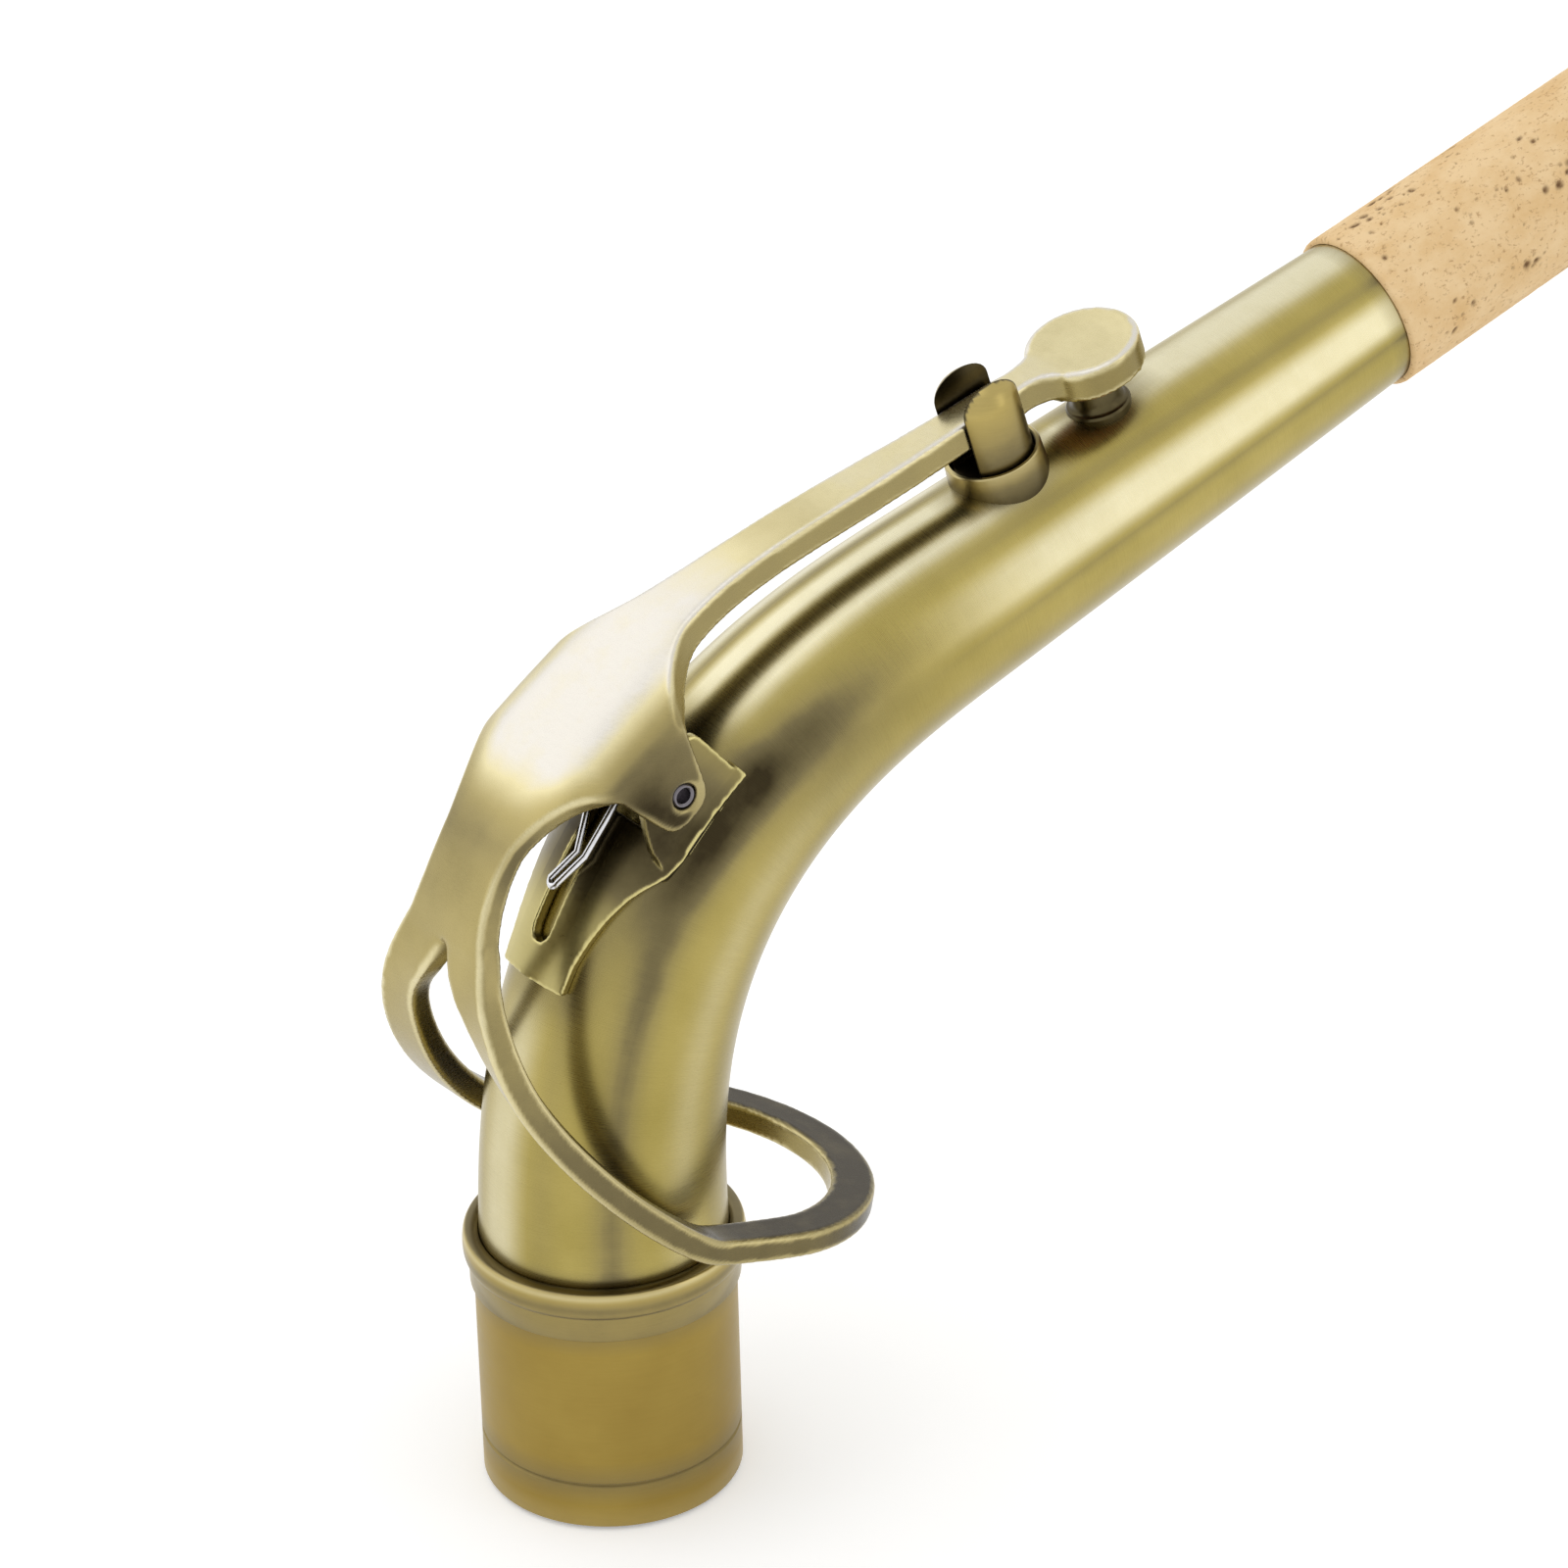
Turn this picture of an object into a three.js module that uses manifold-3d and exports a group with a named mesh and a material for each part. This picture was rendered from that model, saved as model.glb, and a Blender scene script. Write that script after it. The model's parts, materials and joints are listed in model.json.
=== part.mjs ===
// Alto saxophone neck: bent conical tube, tenon, cork and the sprung octave key on its crown.
// Millimetres, +Z up. The origin is the centre of the collar's lower shoulder, the tube bends
// towards +X in the plane y = 0, and the key is mirrored about that plane.
import * as THREE from 'three';
import { mergeVertices } from 'three/addons/utils/BufferGeometryUtils.js';
import Module from 'manifold-3d';

const wasm = await Module();
wasm.setup();

// Tube: stations are distances along the centreline from where the bend begins
const BEND_START_HEIGHT = 4.4;
const BEND_LENGTH = 72.2;
const MOUTH_ANGLE = THREE.MathUtils.degToRad(16.8);
const BEND_EASE_SHARE = 0.838;
const TUBE_RADIUS = 11.65;
const RADIUS_AT_CORK = 7.46;
const RADIUS_AT_MOUTH = 6.6;
const TUBE_SWELL = 0.11;
const TUBE_WALL = 0.75;
const TUBE_SOCKET_DEPTH = 16;
const CORK_STATION = 124.7;
const CORK_LENGTH = 58;
const TUBE_SIDES = 32;

// Tenon, collar, cork and mouth ring
const TENON_WALL = 0.5;
const TENON_LENGTH = 20.7;
const TENON_GROOVE_HEIGHT = 4.6;
const TENON_GROOVE_WIDTH = 0.5;
const TENON_GROOVE_DEPTH = 0.2;
const SOLDER_GAP = 0.1;
const COLLAR_HEIGHT = 5.3;
const COLLAR_STEP_HEIGHT = 2.6;
const COLLAR_STEP_WALL = 0.3;
const COLLAR_BEAD_WALL = 0.95;
const COLLAR_LIP_HEIGHT = 0.9;
const COLLAR_SIDES = 56;
const CORK_THICKNESS = 0.5;
const CORK_EDGE_ROUND = 0.25;
const CORK_MOUTH_THICKNESS = 1.1;
const TIP_RING_LENGTH = 2.2;
const TIP_RING_WALL = 0.8;

// Saddle: a sheet that hugs the crown and ends in two walls
const SEAT_GAP = 0.25;
const SHEET_THICKNESS = 0.9;
const SADDLE_TAIL_REACH = 16.9;
const SADDLE_FRONT_REACH = 4.2;
const SADDLE_TAIL_HALF_WIDTH = 4.3;
const SADDLE_HALF_WIDTH = 8;
const SADDLE_WALL_THICKNESS = 1;
const SADDLE_WALL_HEAD = 2.4;
const SADDLE_WALL_FRONT = 5.1;
const SADDLE_WALL_REAR = 6.4;
const SLOT_HALF_WIDTH = 1.2;
const SLOT_TAIL_LAND = 2.7;
const SLOT_END_FLAT_SHARE = 0.17;
const SPRING_WELL_REACH = 3.4;

// Pivot
const HINGE_STATION = 42.5;
const HINGE_RISE = 2.45;
const ROD_RADIUS = 1.15;
const ROD_CLEARANCE = 0.09;
const ROD_END_HOLE_RADIUS = 0.75;
const ROD_END_HOLE_DEPTH = 1.2;
const ROD_HEAD_RADIUS = 1.9;
const ROD_HEAD_THICKNESS = 0.9;
const ROD_HEAD_GAP = 0.12;
const ROD_DRIVE_WIDTH = 0.5;
const ROD_DRIVE_DEPTH = 0.45;
const ROD_NEAR_RECESS = 0.3;

// Key: heights are measured above the tube's crown at the same station
const SHIELD_HALF_WIDTH = 10;
const PLATE_STAND = 13;
const PLATE_THICKNESS = 2;
const CROWN_DROP = 2.85;
const CROWN_POWER = 2.7;
const KEY_TAIL_REACH = 14.85;
const KEY_EDGE_ROUND = 0.3;
const EAR_THICKNESS = 1.7;
const EAR_RADIUS = 2.3;
const EAR_REAR = 3.5;
const EAR_HEIGHT = 6.2;
const ARM_HALF_WIDTH = 1.9;
const ARM_STAND = 7.6;
const ARM_THICKNESS = 2.9;

// Ring that the finger key of the body pushes, and the two branches that carry it
const RING_GAP = 2.4;
const RING_WIDTH = 4.2;
const RING_THICKNESS = 2.4;
const RING_TILT = THREE.MathUtils.degToRad(12.6);
const RING_CENTRE_X = 9.1;
const RING_TOP_HEIGHT = 9;
const BRANCH_WIDTH = 4;
const BRANCH_THICKNESS = 2.6;
const BRANCH_TILT = THREE.MathUtils.degToRad(15);
const BRANCH_TOE_SETBACK = 6.8;
const BRANCH_ROOT_PULL = 14.5;
const BRANCH_TOE_PULL = 5.4;
const BRANCH_ROOT_LENGTH = 5;
const BRANCH_ROOT_TURN = THREE.MathUtils.degToRad(-8);

// Pad, cup, pip and the guide of the arm
const PAD_STATION = 94.8;
const PIP_RADIUS = 2.4;
const PIP_FLARE_RADIUS = 3.1;
const PIP_RISE = 2.9;
const PIP_FLARE_RISE = 1.2;
const PIP_BORE_RADIUS = 1.1;
const PIP_SPIGOT_WALL = 0.7;
const PIP_SPIGOT_DEPTH = 3;
const PAD_GAP = 0.3;
const PAD_THICKNESS = 2.3;
const PAD_RADIUS = 4.15;
const CUP_WALL = 1;
const CUP_DEPTH = 1.6;
const CUP_ROOF = 1.35;
const CUP_DOME = 0.3;
const GUIDE_STATION = 82.6;
const GUIDE_POST_RADIUS = 3.85;
const GUIDE_POST_RISE = 10.7;
const GUIDE_DOME = 2.5;
const GUIDE_FLOOR = 1.2;
const GUIDE_SIDE_GAP = 0.3;
const GUIDE_RING_GAP = 0.2;
const GUIDE_RING_WALL = 0.55;
const GUIDE_RING_FOOT = 0.2;
const GUIDE_RING_RISE = 2.1;

// Spring: steel wire, one coil on each side and a bridge whose tip hooks into the saddle's slot
const WIRE_RADIUS = 0.35;
const COIL_GAP = 0.25;
const COIL_PITCH = 1.2;
const COIL_START = 2.2;
const CURLS = 3;
const CURL_STEPS = 8;
const WIRE_SIDES = 5;
const BRIDGE_HALF_WIDTH = 0.6;
const BRIDGE_BEND_REACH = 7.2;
const BRIDGE_TIP_REACH = 9.6;
const BRIDGE_TIP_HEIGHT = 1.1;
const BRIDGE_CLEARANCE = 0.12;
const SPRING_END_REACH = 8.1;
const COIL_LEAVE_ANGLE = THREE.MathUtils.degToRad(50);

// Counts of faces, and how far a cutter reaches past what it cuts
const CUT_OVERRUN = 2;
const SMALL_SIDES = 24;
const CURVE_STEPS = 360;
const BEND_STEPS = 30;
const BEAD_STEPS = 7;
const ARC_STEPS = 12;
const RING_STEPS = 10;
const SLOT_END_STEPS = 4;
const OUTLINE_STEPS = 6;
const BRIDGE_TIP_STEPS = 3;

// Centreline
const MOUTH_STATION = CORK_STATION + CORK_LENGTH + TIP_RING_LENGTH + SOLDER_GAP;
const curve = [new THREE.Vector2(0, BEND_START_HEIGHT)];
for (let i = 1; i <= CURVE_STEPS; i++) {
  const length = BEND_LENGTH / CURVE_STEPS;
  const heading = headingAt((i - 0.5) * length);
  const last = curve[i - 1];
  const step = new THREE.Vector2(Math.cos(heading), Math.sin(heading)).multiplyScalar(length);
  curve.push(last.clone().add(step));
}

function headingAt(station) {
  const t = THREE.MathUtils.clamp(station / BEND_LENGTH, 0, 1);
  const eased = BEND_EASE_SHARE * t * t * (3 - 2 * t) + (1 - BEND_EASE_SHARE) * t;
  return Math.PI / 2 - (Math.PI / 2 - MOUTH_ANGLE) * eased;
}

function centreAt(station) {
  if (station <= 0) return new THREE.Vector2(0, BEND_START_HEIGHT + station);
  if (station >= BEND_LENGTH) {
    const past = station - BEND_LENGTH;
    const end = curve[CURVE_STEPS];
    const along = new THREE.Vector2(Math.cos(MOUTH_ANGLE), Math.sin(MOUTH_ANGLE));
    return end.clone().addScaledVector(along, past);
  }
  const place = station / BEND_LENGTH * CURVE_STEPS;
  const below = Math.floor(place);
  return curve[below].clone().lerp(curve[below + 1], place - below);
}

// Outer radius of the tube
function radiusAt(station) {
  if (station <= 0) return TUBE_RADIUS;
  if (station > CORK_STATION) {
    const past = (station - CORK_STATION) / (MOUTH_STATION - CORK_STATION);
    return THREE.MathUtils.lerp(RADIUS_AT_CORK, RADIUS_AT_MOUTH, past);
  }
  const u = station / CORK_STATION;
  return THREE.MathUtils.lerp(TUBE_RADIUS, RADIUS_AT_CORK, u) + TUBE_SWELL * 4 * u * (1 - u);
}

// Point at a station, a distance out from the centreline on the crown side, and a sideways y
function pointAt(station, out, y) {
  const c = centreAt(station);
  const heading = headingAt(station);
  return new THREE.Vector3(c.x - out * Math.sin(heading), y, c.y + out * Math.cos(heading));
}

// Frame at a station: local X runs along the tube, local Y points out of the crown
function frameAt(station, out) {
  const heading = headingAt(station);
  const along = new THREE.Vector3(Math.cos(heading), 0, Math.sin(heading));
  const outward = new THREE.Vector3(-Math.sin(heading), 0, Math.cos(heading));
  const matrix = new THREE.Matrix4().makeBasis(along, outward, along.clone().cross(outward));
  return matrix.setPosition(pointAt(station, out, 0));
}

// Solids
function solidOf(geometry) {
  const bare = new THREE.BufferGeometry();
  bare.setAttribute('position', geometry.attributes.position.clone());
  bare.setIndex(geometry.index);
  const merged = mergeVertices(bare);
  const vertProperties = new Float32Array(merged.attributes.position.array);
  const triVerts = new Uint32Array(merged.index.array);
  return new wasm.Manifold(new wasm.Mesh({ numProp: 3, vertProperties, triVerts }));
}

function geometryOf(solid) {
  const mesh = solid.getMesh();
  const geometry = new THREE.BufferGeometry();
  geometry.setAttribute('position', new THREE.BufferAttribute(new Float32Array(mesh.vertProperties), 3));
  geometry.setIndex(new THREE.BufferAttribute(new Uint32Array(mesh.triVerts), 1));
  geometry.computeVertexNormals();
  return geometry;
}

// Closed surface through rings of points that all hold as many points
function surfaceOf(rings, capTriangles) {
  const count = rings[0].length;
  const positions = rings.flat().flatMap((p) => [p.x, p.y, p.z]);
  const indices = [];
  const joins = capTriangles ? rings.length - 1 : rings.length;
  for (let i = 0; i < joins; i++) {
    const here = i * count;
    const next = ((i + 1) % rings.length) * count;
    for (let j = 0; j < count; j++) {
      const k = (j + 1) % count;
      indices.push(here + j, here + k, next + k, here + j, next + k, next + j);
    }
  }
  if (capTriangles) {
    const last = (rings.length - 1) * count;
    for (const [a, b, c] of capTriangles) {
      indices.push(a, c, b, last + a, last + b, last + c);
    }
  }
  const geometry = new THREE.BufferGeometry();
  geometry.setAttribute('position', new THREE.Float32BufferAttribute(positions, 3));
  geometry.setIndex(indices);
  return facingOut(geometry);
}

function facingOut(geometry) {
  const p = geometry.attributes.position;
  const index = geometry.index.array;
  const [a, b, c] = [new THREE.Vector3(), new THREE.Vector3(), new THREE.Vector3()];
  let volume = 0;
  for (let i = 0; i < index.length; i += 3) {
    a.fromBufferAttribute(p, index[i]);
    b.fromBufferAttribute(p, index[i + 1]);
    c.fromBufferAttribute(p, index[i + 2]);
    volume += a.dot(b.cross(c));
  }
  if (volume < 0) geometry.setIndex(Array.from(index).reverse());
  geometry.computeVertexNormals();
  return geometry;
}

// Loft through flat outlines, each with a function that puts its points in space
function loft(sections) {
  const rings = sections.map(({ outline, place }) => outline.map((v) => place(v.x, v.y)));
  return surfaceOf(rings, capOf(sections[0].outline));
}

// Triangles across a flat outline, wound the way the outline runs
function capOf(outline) {
  const clockwise = THREE.ShapeUtils.isClockWise(outline);
  return THREE.ShapeUtils.triangulateShape(outline, []).map(([a, b, c]) => {
    const same = THREE.ShapeUtils.isClockWise([outline[a], outline[b], outline[c]]) === clockwise;
    return same ? [a, b, c] : [a, c, b];
  });
}

function fanOf(count) {
  const fan = [];
  for (let j = 1; j + 1 < count; j++) fan.push([0, j, j + 1]);
  return fan;
}

// Pipe round the centreline: walls is a list of [station, radius] that goes out and comes back
function pipe(walls) {
  const rings = walls.map(([station, radius]) => tubeRing(station, radius));
  return surfaceOf(rings);
}

function tubeRing(station, radius) {
  const ring = [];
  for (let i = 0; i < TUBE_SIDES; i++) {
    const turn = i / TUBE_SIDES * 2 * Math.PI;
    ring.push(pointAt(station, radius * Math.cos(turn), radius * Math.sin(turn)));
  }
  return ring;
}

// Stations from one to another, close together in the bend only
function stationsBetween(from, to) {
  const stations = [from];
  for (let i = 0; i <= BEND_STEPS; i++) {
    const station = BEND_LENGTH * i / BEND_STEPS;
    if (station > from && station < to) stations.push(station);
  }
  if (from < CORK_STATION && to > CORK_STATION) stations.push(CORK_STATION);
  stations.push(to);
  return stations;
}

function lathe(profile, sides) {
  const points = profile.map(([r, h]) => new THREE.Vector2(r, h));
  return facingOut(mergedIndex(new THREE.LatheGeometry(points, sides)));
}

function mergedIndex(geometry) {
  const bare = new THREE.BufferGeometry();
  bare.setAttribute('position', geometry.attributes.position);
  bare.setIndex(geometry.index);
  return mergeVertices(bare);
}

function extruded(shape, depth) {
  return new THREE.ExtrudeGeometry(shape, { depth, bevelEnabled: false, curveSegments: OUTLINE_STEPS });
}

function disc(radius, low, high, sides) {
  return lathe([[0, low], [radius, low], [radius, high], [0, high]], sides);
}

// Tube, tenon, collar, cork and mouth ring
function tubeSolid(extra, from, to) {
  const stations = stationsBetween(from, to);
  const rings = stations.map((s) => tubeRing(s, radiusAt(s) + extra));
  return solidOf(surfaceOf(rings, fanOf(TUBE_SIDES)));
}

const padFrame = frameAt(PAD_STATION, radiusAt(PAD_STATION));
const guideFrame = frameAt(GUIDE_STATION, radiusAt(GUIDE_STATION));
const hingeOut = radiusAt(HINGE_STATION) + HINGE_RISE;
const hingeFrame = frameAt(HINGE_STATION, hingeOut);
const pipSpigotRadius = PIP_BORE_RADIUS + PIP_SPIGOT_WALL;

function makeTube() {
  const foot = -(BEND_START_HEIGHT + TUBE_SOCKET_DEPTH);
  const stations = stationsBetween(foot, MOUTH_STATION);
  const outside = stations.map((s) => [s, radiusAt(s)]);
  const inside = stations.map((s) => [s, radiusAt(s) - TUBE_WALL]).reverse();
  const hole = disc(pipSpigotRadius + SEAT_GAP, -TUBE_WALL - CUT_OVERRUN, CUT_OVERRUN, SMALL_SIDES);
  const tube = solidOf(pipe([...outside, ...inside]));
  return geometryOf(tube.subtract(solidOf(hole.applyMatrix4(padFrame))));
}

const tenonInner = TUBE_RADIUS + SOLDER_GAP;
const tenonRadius = tenonInner + TENON_WALL;
const tenonTop = COLLAR_HEIGHT - COLLAR_LIP_HEIGHT - SOLDER_GAP;

function makeTenon() {
  const groove = -TENON_LENGTH + TENON_GROOVE_HEIGHT;
  const half = TENON_GROOVE_WIDTH / 2;
  return lathe([
    [tenonInner, -TENON_LENGTH], [tenonRadius, -TENON_LENGTH],
    [tenonRadius, groove - half], [tenonRadius - TENON_GROOVE_DEPTH, groove], [tenonRadius, groove + half],
    [tenonRadius, tenonTop], [tenonInner, tenonTop], [tenonInner, -TENON_LENGTH],
  ], COLLAR_SIDES);
}

function makeCollar() {
  const inner = tenonRadius + SOLDER_GAP;
  const step = tenonRadius + COLLAR_STEP_WALL + SOLDER_GAP;
  const beadMiddle = (COLLAR_STEP_HEIGHT + COLLAR_HEIGHT) / 2;
  const beadHalf = (COLLAR_HEIGHT - COLLAR_STEP_HEIGHT) / 2;
  const profile = [[inner, 0], [step, 0], [step, COLLAR_STEP_HEIGHT]];
  for (let i = 0; i <= BEAD_STEPS; i++) {
    const turn = Math.PI * (i / BEAD_STEPS - 0.5);
    const bulge = COLLAR_BEAD_WALL * Math.sqrt(Math.cos(turn));
    profile.push([tenonRadius + Math.max(bulge, COLLAR_STEP_WALL + 2 * SOLDER_GAP),
      beadMiddle + beadHalf * Math.sin(turn)]);
  }
  const lip = TUBE_RADIUS + 2 * SOLDER_GAP;
  const lipUnder = COLLAR_HEIGHT - COLLAR_LIP_HEIGHT;
  profile.push([lip, COLLAR_HEIGHT], [lip, lipUnder], [inner, lipUnder], [inner, 0]);
  return lathe(profile, COLLAR_SIDES);
}

function makeCork() {
  const end = CORK_STATION + CORK_LENGTH;
  const inner = (s) => radiusAt(s) + SOLDER_GAP;
  const outer = (s) => THREE.MathUtils.lerp(inner(CORK_STATION) + CORK_THICKNESS,
    inner(end) + CORK_MOUTH_THICKNESS, (s - CORK_STATION) / CORK_LENGTH);
  const middle = CORK_STATION + CORK_LENGTH / 2;
  return pipe([
    [CORK_STATION, inner(CORK_STATION)], [CORK_STATION, outer(CORK_STATION) - CORK_EDGE_ROUND],
    [CORK_STATION + CORK_EDGE_ROUND, outer(CORK_STATION)], [middle, outer(middle)],
    [end - CORK_EDGE_ROUND, outer(end)], [end, outer(end) - CORK_EDGE_ROUND],
    [end, inner(end)], [middle, inner(middle)],
  ]);
}

function makeTipRing() {
  const near = CORK_STATION + CORK_LENGTH + SOLDER_GAP;
  const inner = (s) => radiusAt(s) + SOLDER_GAP;
  const outer = inner(near) + TIP_RING_WALL;
  return pipe([
    [near, inner(near)], [near, outer],
    [MOUTH_STATION, outer], [MOUTH_STATION, inner(MOUTH_STATION)],
  ]);
}

// Saddle: half widths of its lower edge, as shares of the full width, at shares of the tail's reach
const SADDLE_EDGE_SHARES = [
  [1, 0], [0.87, 0.03], [0.75, 0.15], [0.62, 0.32], [0.5, 0.53],
  [0.41, 0.75], [0.34, 0.92], [0.25, 1], [0, 1],
];
const saddleOutside = (s) => radiusAt(s) + SEAT_GAP + SHEET_THICKNESS;

function saddleSection(station, halfWidth) {
  const inside = radiusAt(station) + SEAT_GAP;
  const reach = Math.asin(halfWidth / inside);
  const arc = (radius) => {
    const points = [];
    for (let i = 0; i <= ARC_STEPS; i++) {
      const turn = reach * (2 * i / ARC_STEPS - 1);
      points.push(new THREE.Vector2(radius * Math.sin(turn), radius * Math.cos(turn)));
    }
    return points;
  };
  const outline = [...arc(saddleOutside(station)), ...arc(inside).reverse()];
  return { outline, place: (y, out) => pointAt(station, out, y) };
}

function makeSaddle() {
  const sections = SADDLE_EDGE_SHARES.map(([back, widen]) => saddleSection(
    HINGE_STATION - SADDLE_TAIL_REACH * back,
    THREE.MathUtils.lerp(SADDLE_TAIL_HALF_WIDTH, SADDLE_HALF_WIDTH, widen)));
  sections.push(saddleSection(HINGE_STATION + SADDLE_FRONT_REACH / 2, SADDLE_HALF_WIDTH));
  sections.push(saddleSection(HINGE_STATION + SADDLE_FRONT_REACH, SADDLE_HALF_WIDTH));
  let saddle = solidOf(loft(sections));
  for (const side of [-1, 1]) {
    saddle = saddle.add(solidOf(saddleWall(side)));
  }
  const length = SADDLE_TAIL_REACH + SADDLE_FRONT_REACH;
  saddle = saddle.subtract(tubeSolid(SEAT_GAP, HINGE_STATION - 2 * length, HINGE_STATION + 2 * length));
  saddle = saddle.subtract(solidOf(slotCutter()));
  saddle = saddle.subtract(solidOf(wellCutter()));
  const hole = disc(ROD_RADIUS + ROD_CLEARANCE, -2 * SADDLE_HALF_WIDTH, 2 * SADDLE_HALF_WIDTH, SMALL_SIDES);
  hole.rotateX(Math.PI / 2);
  return geometryOf(saddle.subtract(solidOf(hole.applyMatrix4(hingeFrame))));
}

// Wall beside the rod, drawn in the hinge's frame: x along the tube, y outwards
function saddleWall(side) {
  const foot = -hingeOut + Math.sqrt(radiusAt(HINGE_STATION) ** 2 - SADDLE_HALF_WIDTH ** 2);
  const crown = -HINGE_RISE;
  const shape = new THREE.Shape();
  shape.moveTo(-SADDLE_WALL_REAR, foot);
  shape.lineTo(SADDLE_WALL_FRONT - SHEET_THICKNESS / 2, foot);
  shape.lineTo(SADDLE_WALL_FRONT, SADDLE_WALL_HEAD / 3);
  shape.quadraticCurveTo(SADDLE_WALL_FRONT, SADDLE_WALL_HEAD, SADDLE_WALL_HEAD, SADDLE_WALL_HEAD);
  shape.lineTo(-SADDLE_WALL_HEAD / 2, SADDLE_WALL_HEAD);
  shape.quadraticCurveTo(-SADDLE_WALL_REAR / 2, SADDLE_WALL_HEAD, -SADDLE_WALL_REAR, crown);
  const wall = extruded(shape, SADDLE_WALL_THICKNESS);
  const inner = SADDLE_HALF_WIDTH - SADDLE_WALL_THICKNESS;
  wall.translate(0, 0, side > 0 ? inner : -SADDLE_HALF_WIDTH);
  return wall.applyMatrix4(hingeFrame);
}

// Slot along the crown: a bar from the rounded tail end to the well
function slotCutter() {
  const tail = HINGE_STATION - SADDLE_TAIL_REACH + SLOT_TAIL_LAND + SLOT_HALF_WIDTH;
  const front = HINGE_STATION - SPRING_WELL_REACH;
  const sections = [];
  for (let i = 0; i <= SLOT_END_STEPS; i++) {
    const turn = Math.PI / 2 * i / SLOT_END_STEPS;
    const width = SLOT_HALF_WIDTH * Math.max(Math.sin(turn), SLOT_END_FLAT_SHARE);
    sections.push(crownSection(tail - SLOT_HALF_WIDTH * Math.cos(turn), width, CUT_OVERRUN));
  }
  sections.push(crownSection((tail + front) / 2, SLOT_HALF_WIDTH, CUT_OVERRUN));
  sections.push(crownSection((front + HINGE_STATION) / 2, SLOT_HALF_WIDTH, CUT_OVERRUN));
  return loft(sections);
}

function crownSection(station, halfWidth, height) {
  const low = 0;
  const high = saddleOutside(station) + height;
  const corners = [[-halfWidth, low], [halfWidth, low], [halfWidth, high], [-halfWidth, high]];
  const outline = corners.map(([y, out]) => new THREE.Vector2(y, out));
  return { outline, place: (y, out) => pointAt(station, out, y) };
}

// Well between the walls, where the coils lie
function wellCutter() {
  const halfWidth = SADDLE_HALF_WIDTH - SADDLE_WALL_THICKNESS;
  const height = HINGE_RISE + SADDLE_WALL_HEAD + CUT_OVERRUN;
  return loft([-SPRING_WELL_REACH, 0, SADDLE_WALL_FRONT + CUT_OVERRUN].map(
    (ahead) => crownSection(HINGE_STATION + ahead, halfWidth, height)));
}

// Pivot rod, drawn along local Z of the hinge's frame: the near side is +Z, the slotted head -Z
function makeRod() {
  const nearEnd = SHIELD_HALF_WIDTH - ROD_NEAR_RECESS;
  const headSeat = SHIELD_HALF_WIDTH + ROD_HEAD_GAP;
  const headEnd = headSeat + ROD_HEAD_THICKNESS;
  const rod = lathe([
    [0, -headEnd], [ROD_HEAD_RADIUS, -headEnd], [ROD_HEAD_RADIUS, -headSeat], [ROD_RADIUS, -headSeat],
    [ROD_RADIUS, nearEnd], [ROD_END_HOLE_RADIUS, nearEnd],
    [ROD_END_HOLE_RADIUS, nearEnd - ROD_END_HOLE_DEPTH], [0, nearEnd - ROD_END_HOLE_DEPTH],
  ], SMALL_SIDES);
  const drive = new THREE.BoxGeometry(ROD_DRIVE_WIDTH, 2 * ROD_DRIVE_DEPTH, 3 * ROD_HEAD_RADIUS);
  drive.translate(0, -headEnd, 0);
  return geometryOf(solidOf(rod).subtract(solidOf(drive))).rotateX(Math.PI / 2);
}

// Key plate and arm: station share of the tail's or the arm's reach, half width and stand shares
const TAIL_SHARES = [
  [1, 0.6, 0.957], [0.9, 0.54, 0.972], [0.8, 0.5, 0.985], [0.67, 0.485, 1],
  [0.55, 0.5, 1.003], [0.42, 0.6, 0.995], [0.33, 0.7, 0.987], [0.26, 0.8, 0.98],
  [0.21, 0.9, 0.969], [0.18, 1, 0.962], [0.09, 1, 0.94],
];
const ARM_SHARES = [
  [0, 1, 0.8], [0.034, 1, 0.725], [0.059, 1, 0.685], [0.073, 0.877, 0.663],
  [0.088, 0.753, 0.642], [0.101, 0.629, 0.62], [0.117, 0.506, 0.592],
  [0.135, 0.383, 0.568], [0.159, 0.26, 0.53], [0.191, 0.191, 0.458],
  [0.23, 0.136, 0.38], [0.269, 0.111, 0.31], [0.313, 0.093, 0.235],
  [0.362, 0.086, 0.168], [0.421, 0.078, 0.1], [0.49, 0.069, 0.045], [0.587, 0.04, 0.01],
  [0.685, 0.01, 0], [0.822, 0, 0], [0.858, -0.04, 0], [0.9, -0.03, 0], [0.93, 0.05, 0],
  [1, 0.1, 0],
];
const ARM_THICK_SHARE = 0.16;
const TAIL_THIN_SHARE = 0.55;
const EDGE_SHARES = [1, 0.97, 0.88, 0.7, 0.45, 0.2];
const armReach = PAD_STATION - HINGE_STATION;

function crownDrop(y) {
  return CROWN_DROP * (Math.abs(y) / SHIELD_HALF_WIDTH) ** CROWN_POWER;
}

function keySection(station, halfWidth, stand, thickness) {
  const top = radiusAt(station) + stand;
  const across = [...EDGE_SHARES, 0, ...EDGE_SHARES.map((f) => -f).reverse()];
  const edge = (f) => Math.abs(f) === 1 ? Math.min(KEY_EDGE_ROUND, thickness / 3) : 0;
  const surface = (f) => top - crownDrop(f * halfWidth);
  const outline = across.map((f) => new THREE.Vector2(f * halfWidth, surface(f) - edge(f)));
  for (const f of across.reverse()) {
    outline.push(new THREE.Vector2(f * halfWidth, surface(f) - thickness + edge(f)));
  }
  return { outline, place: (y, out) => pointAt(station, out, y) };
}

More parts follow.
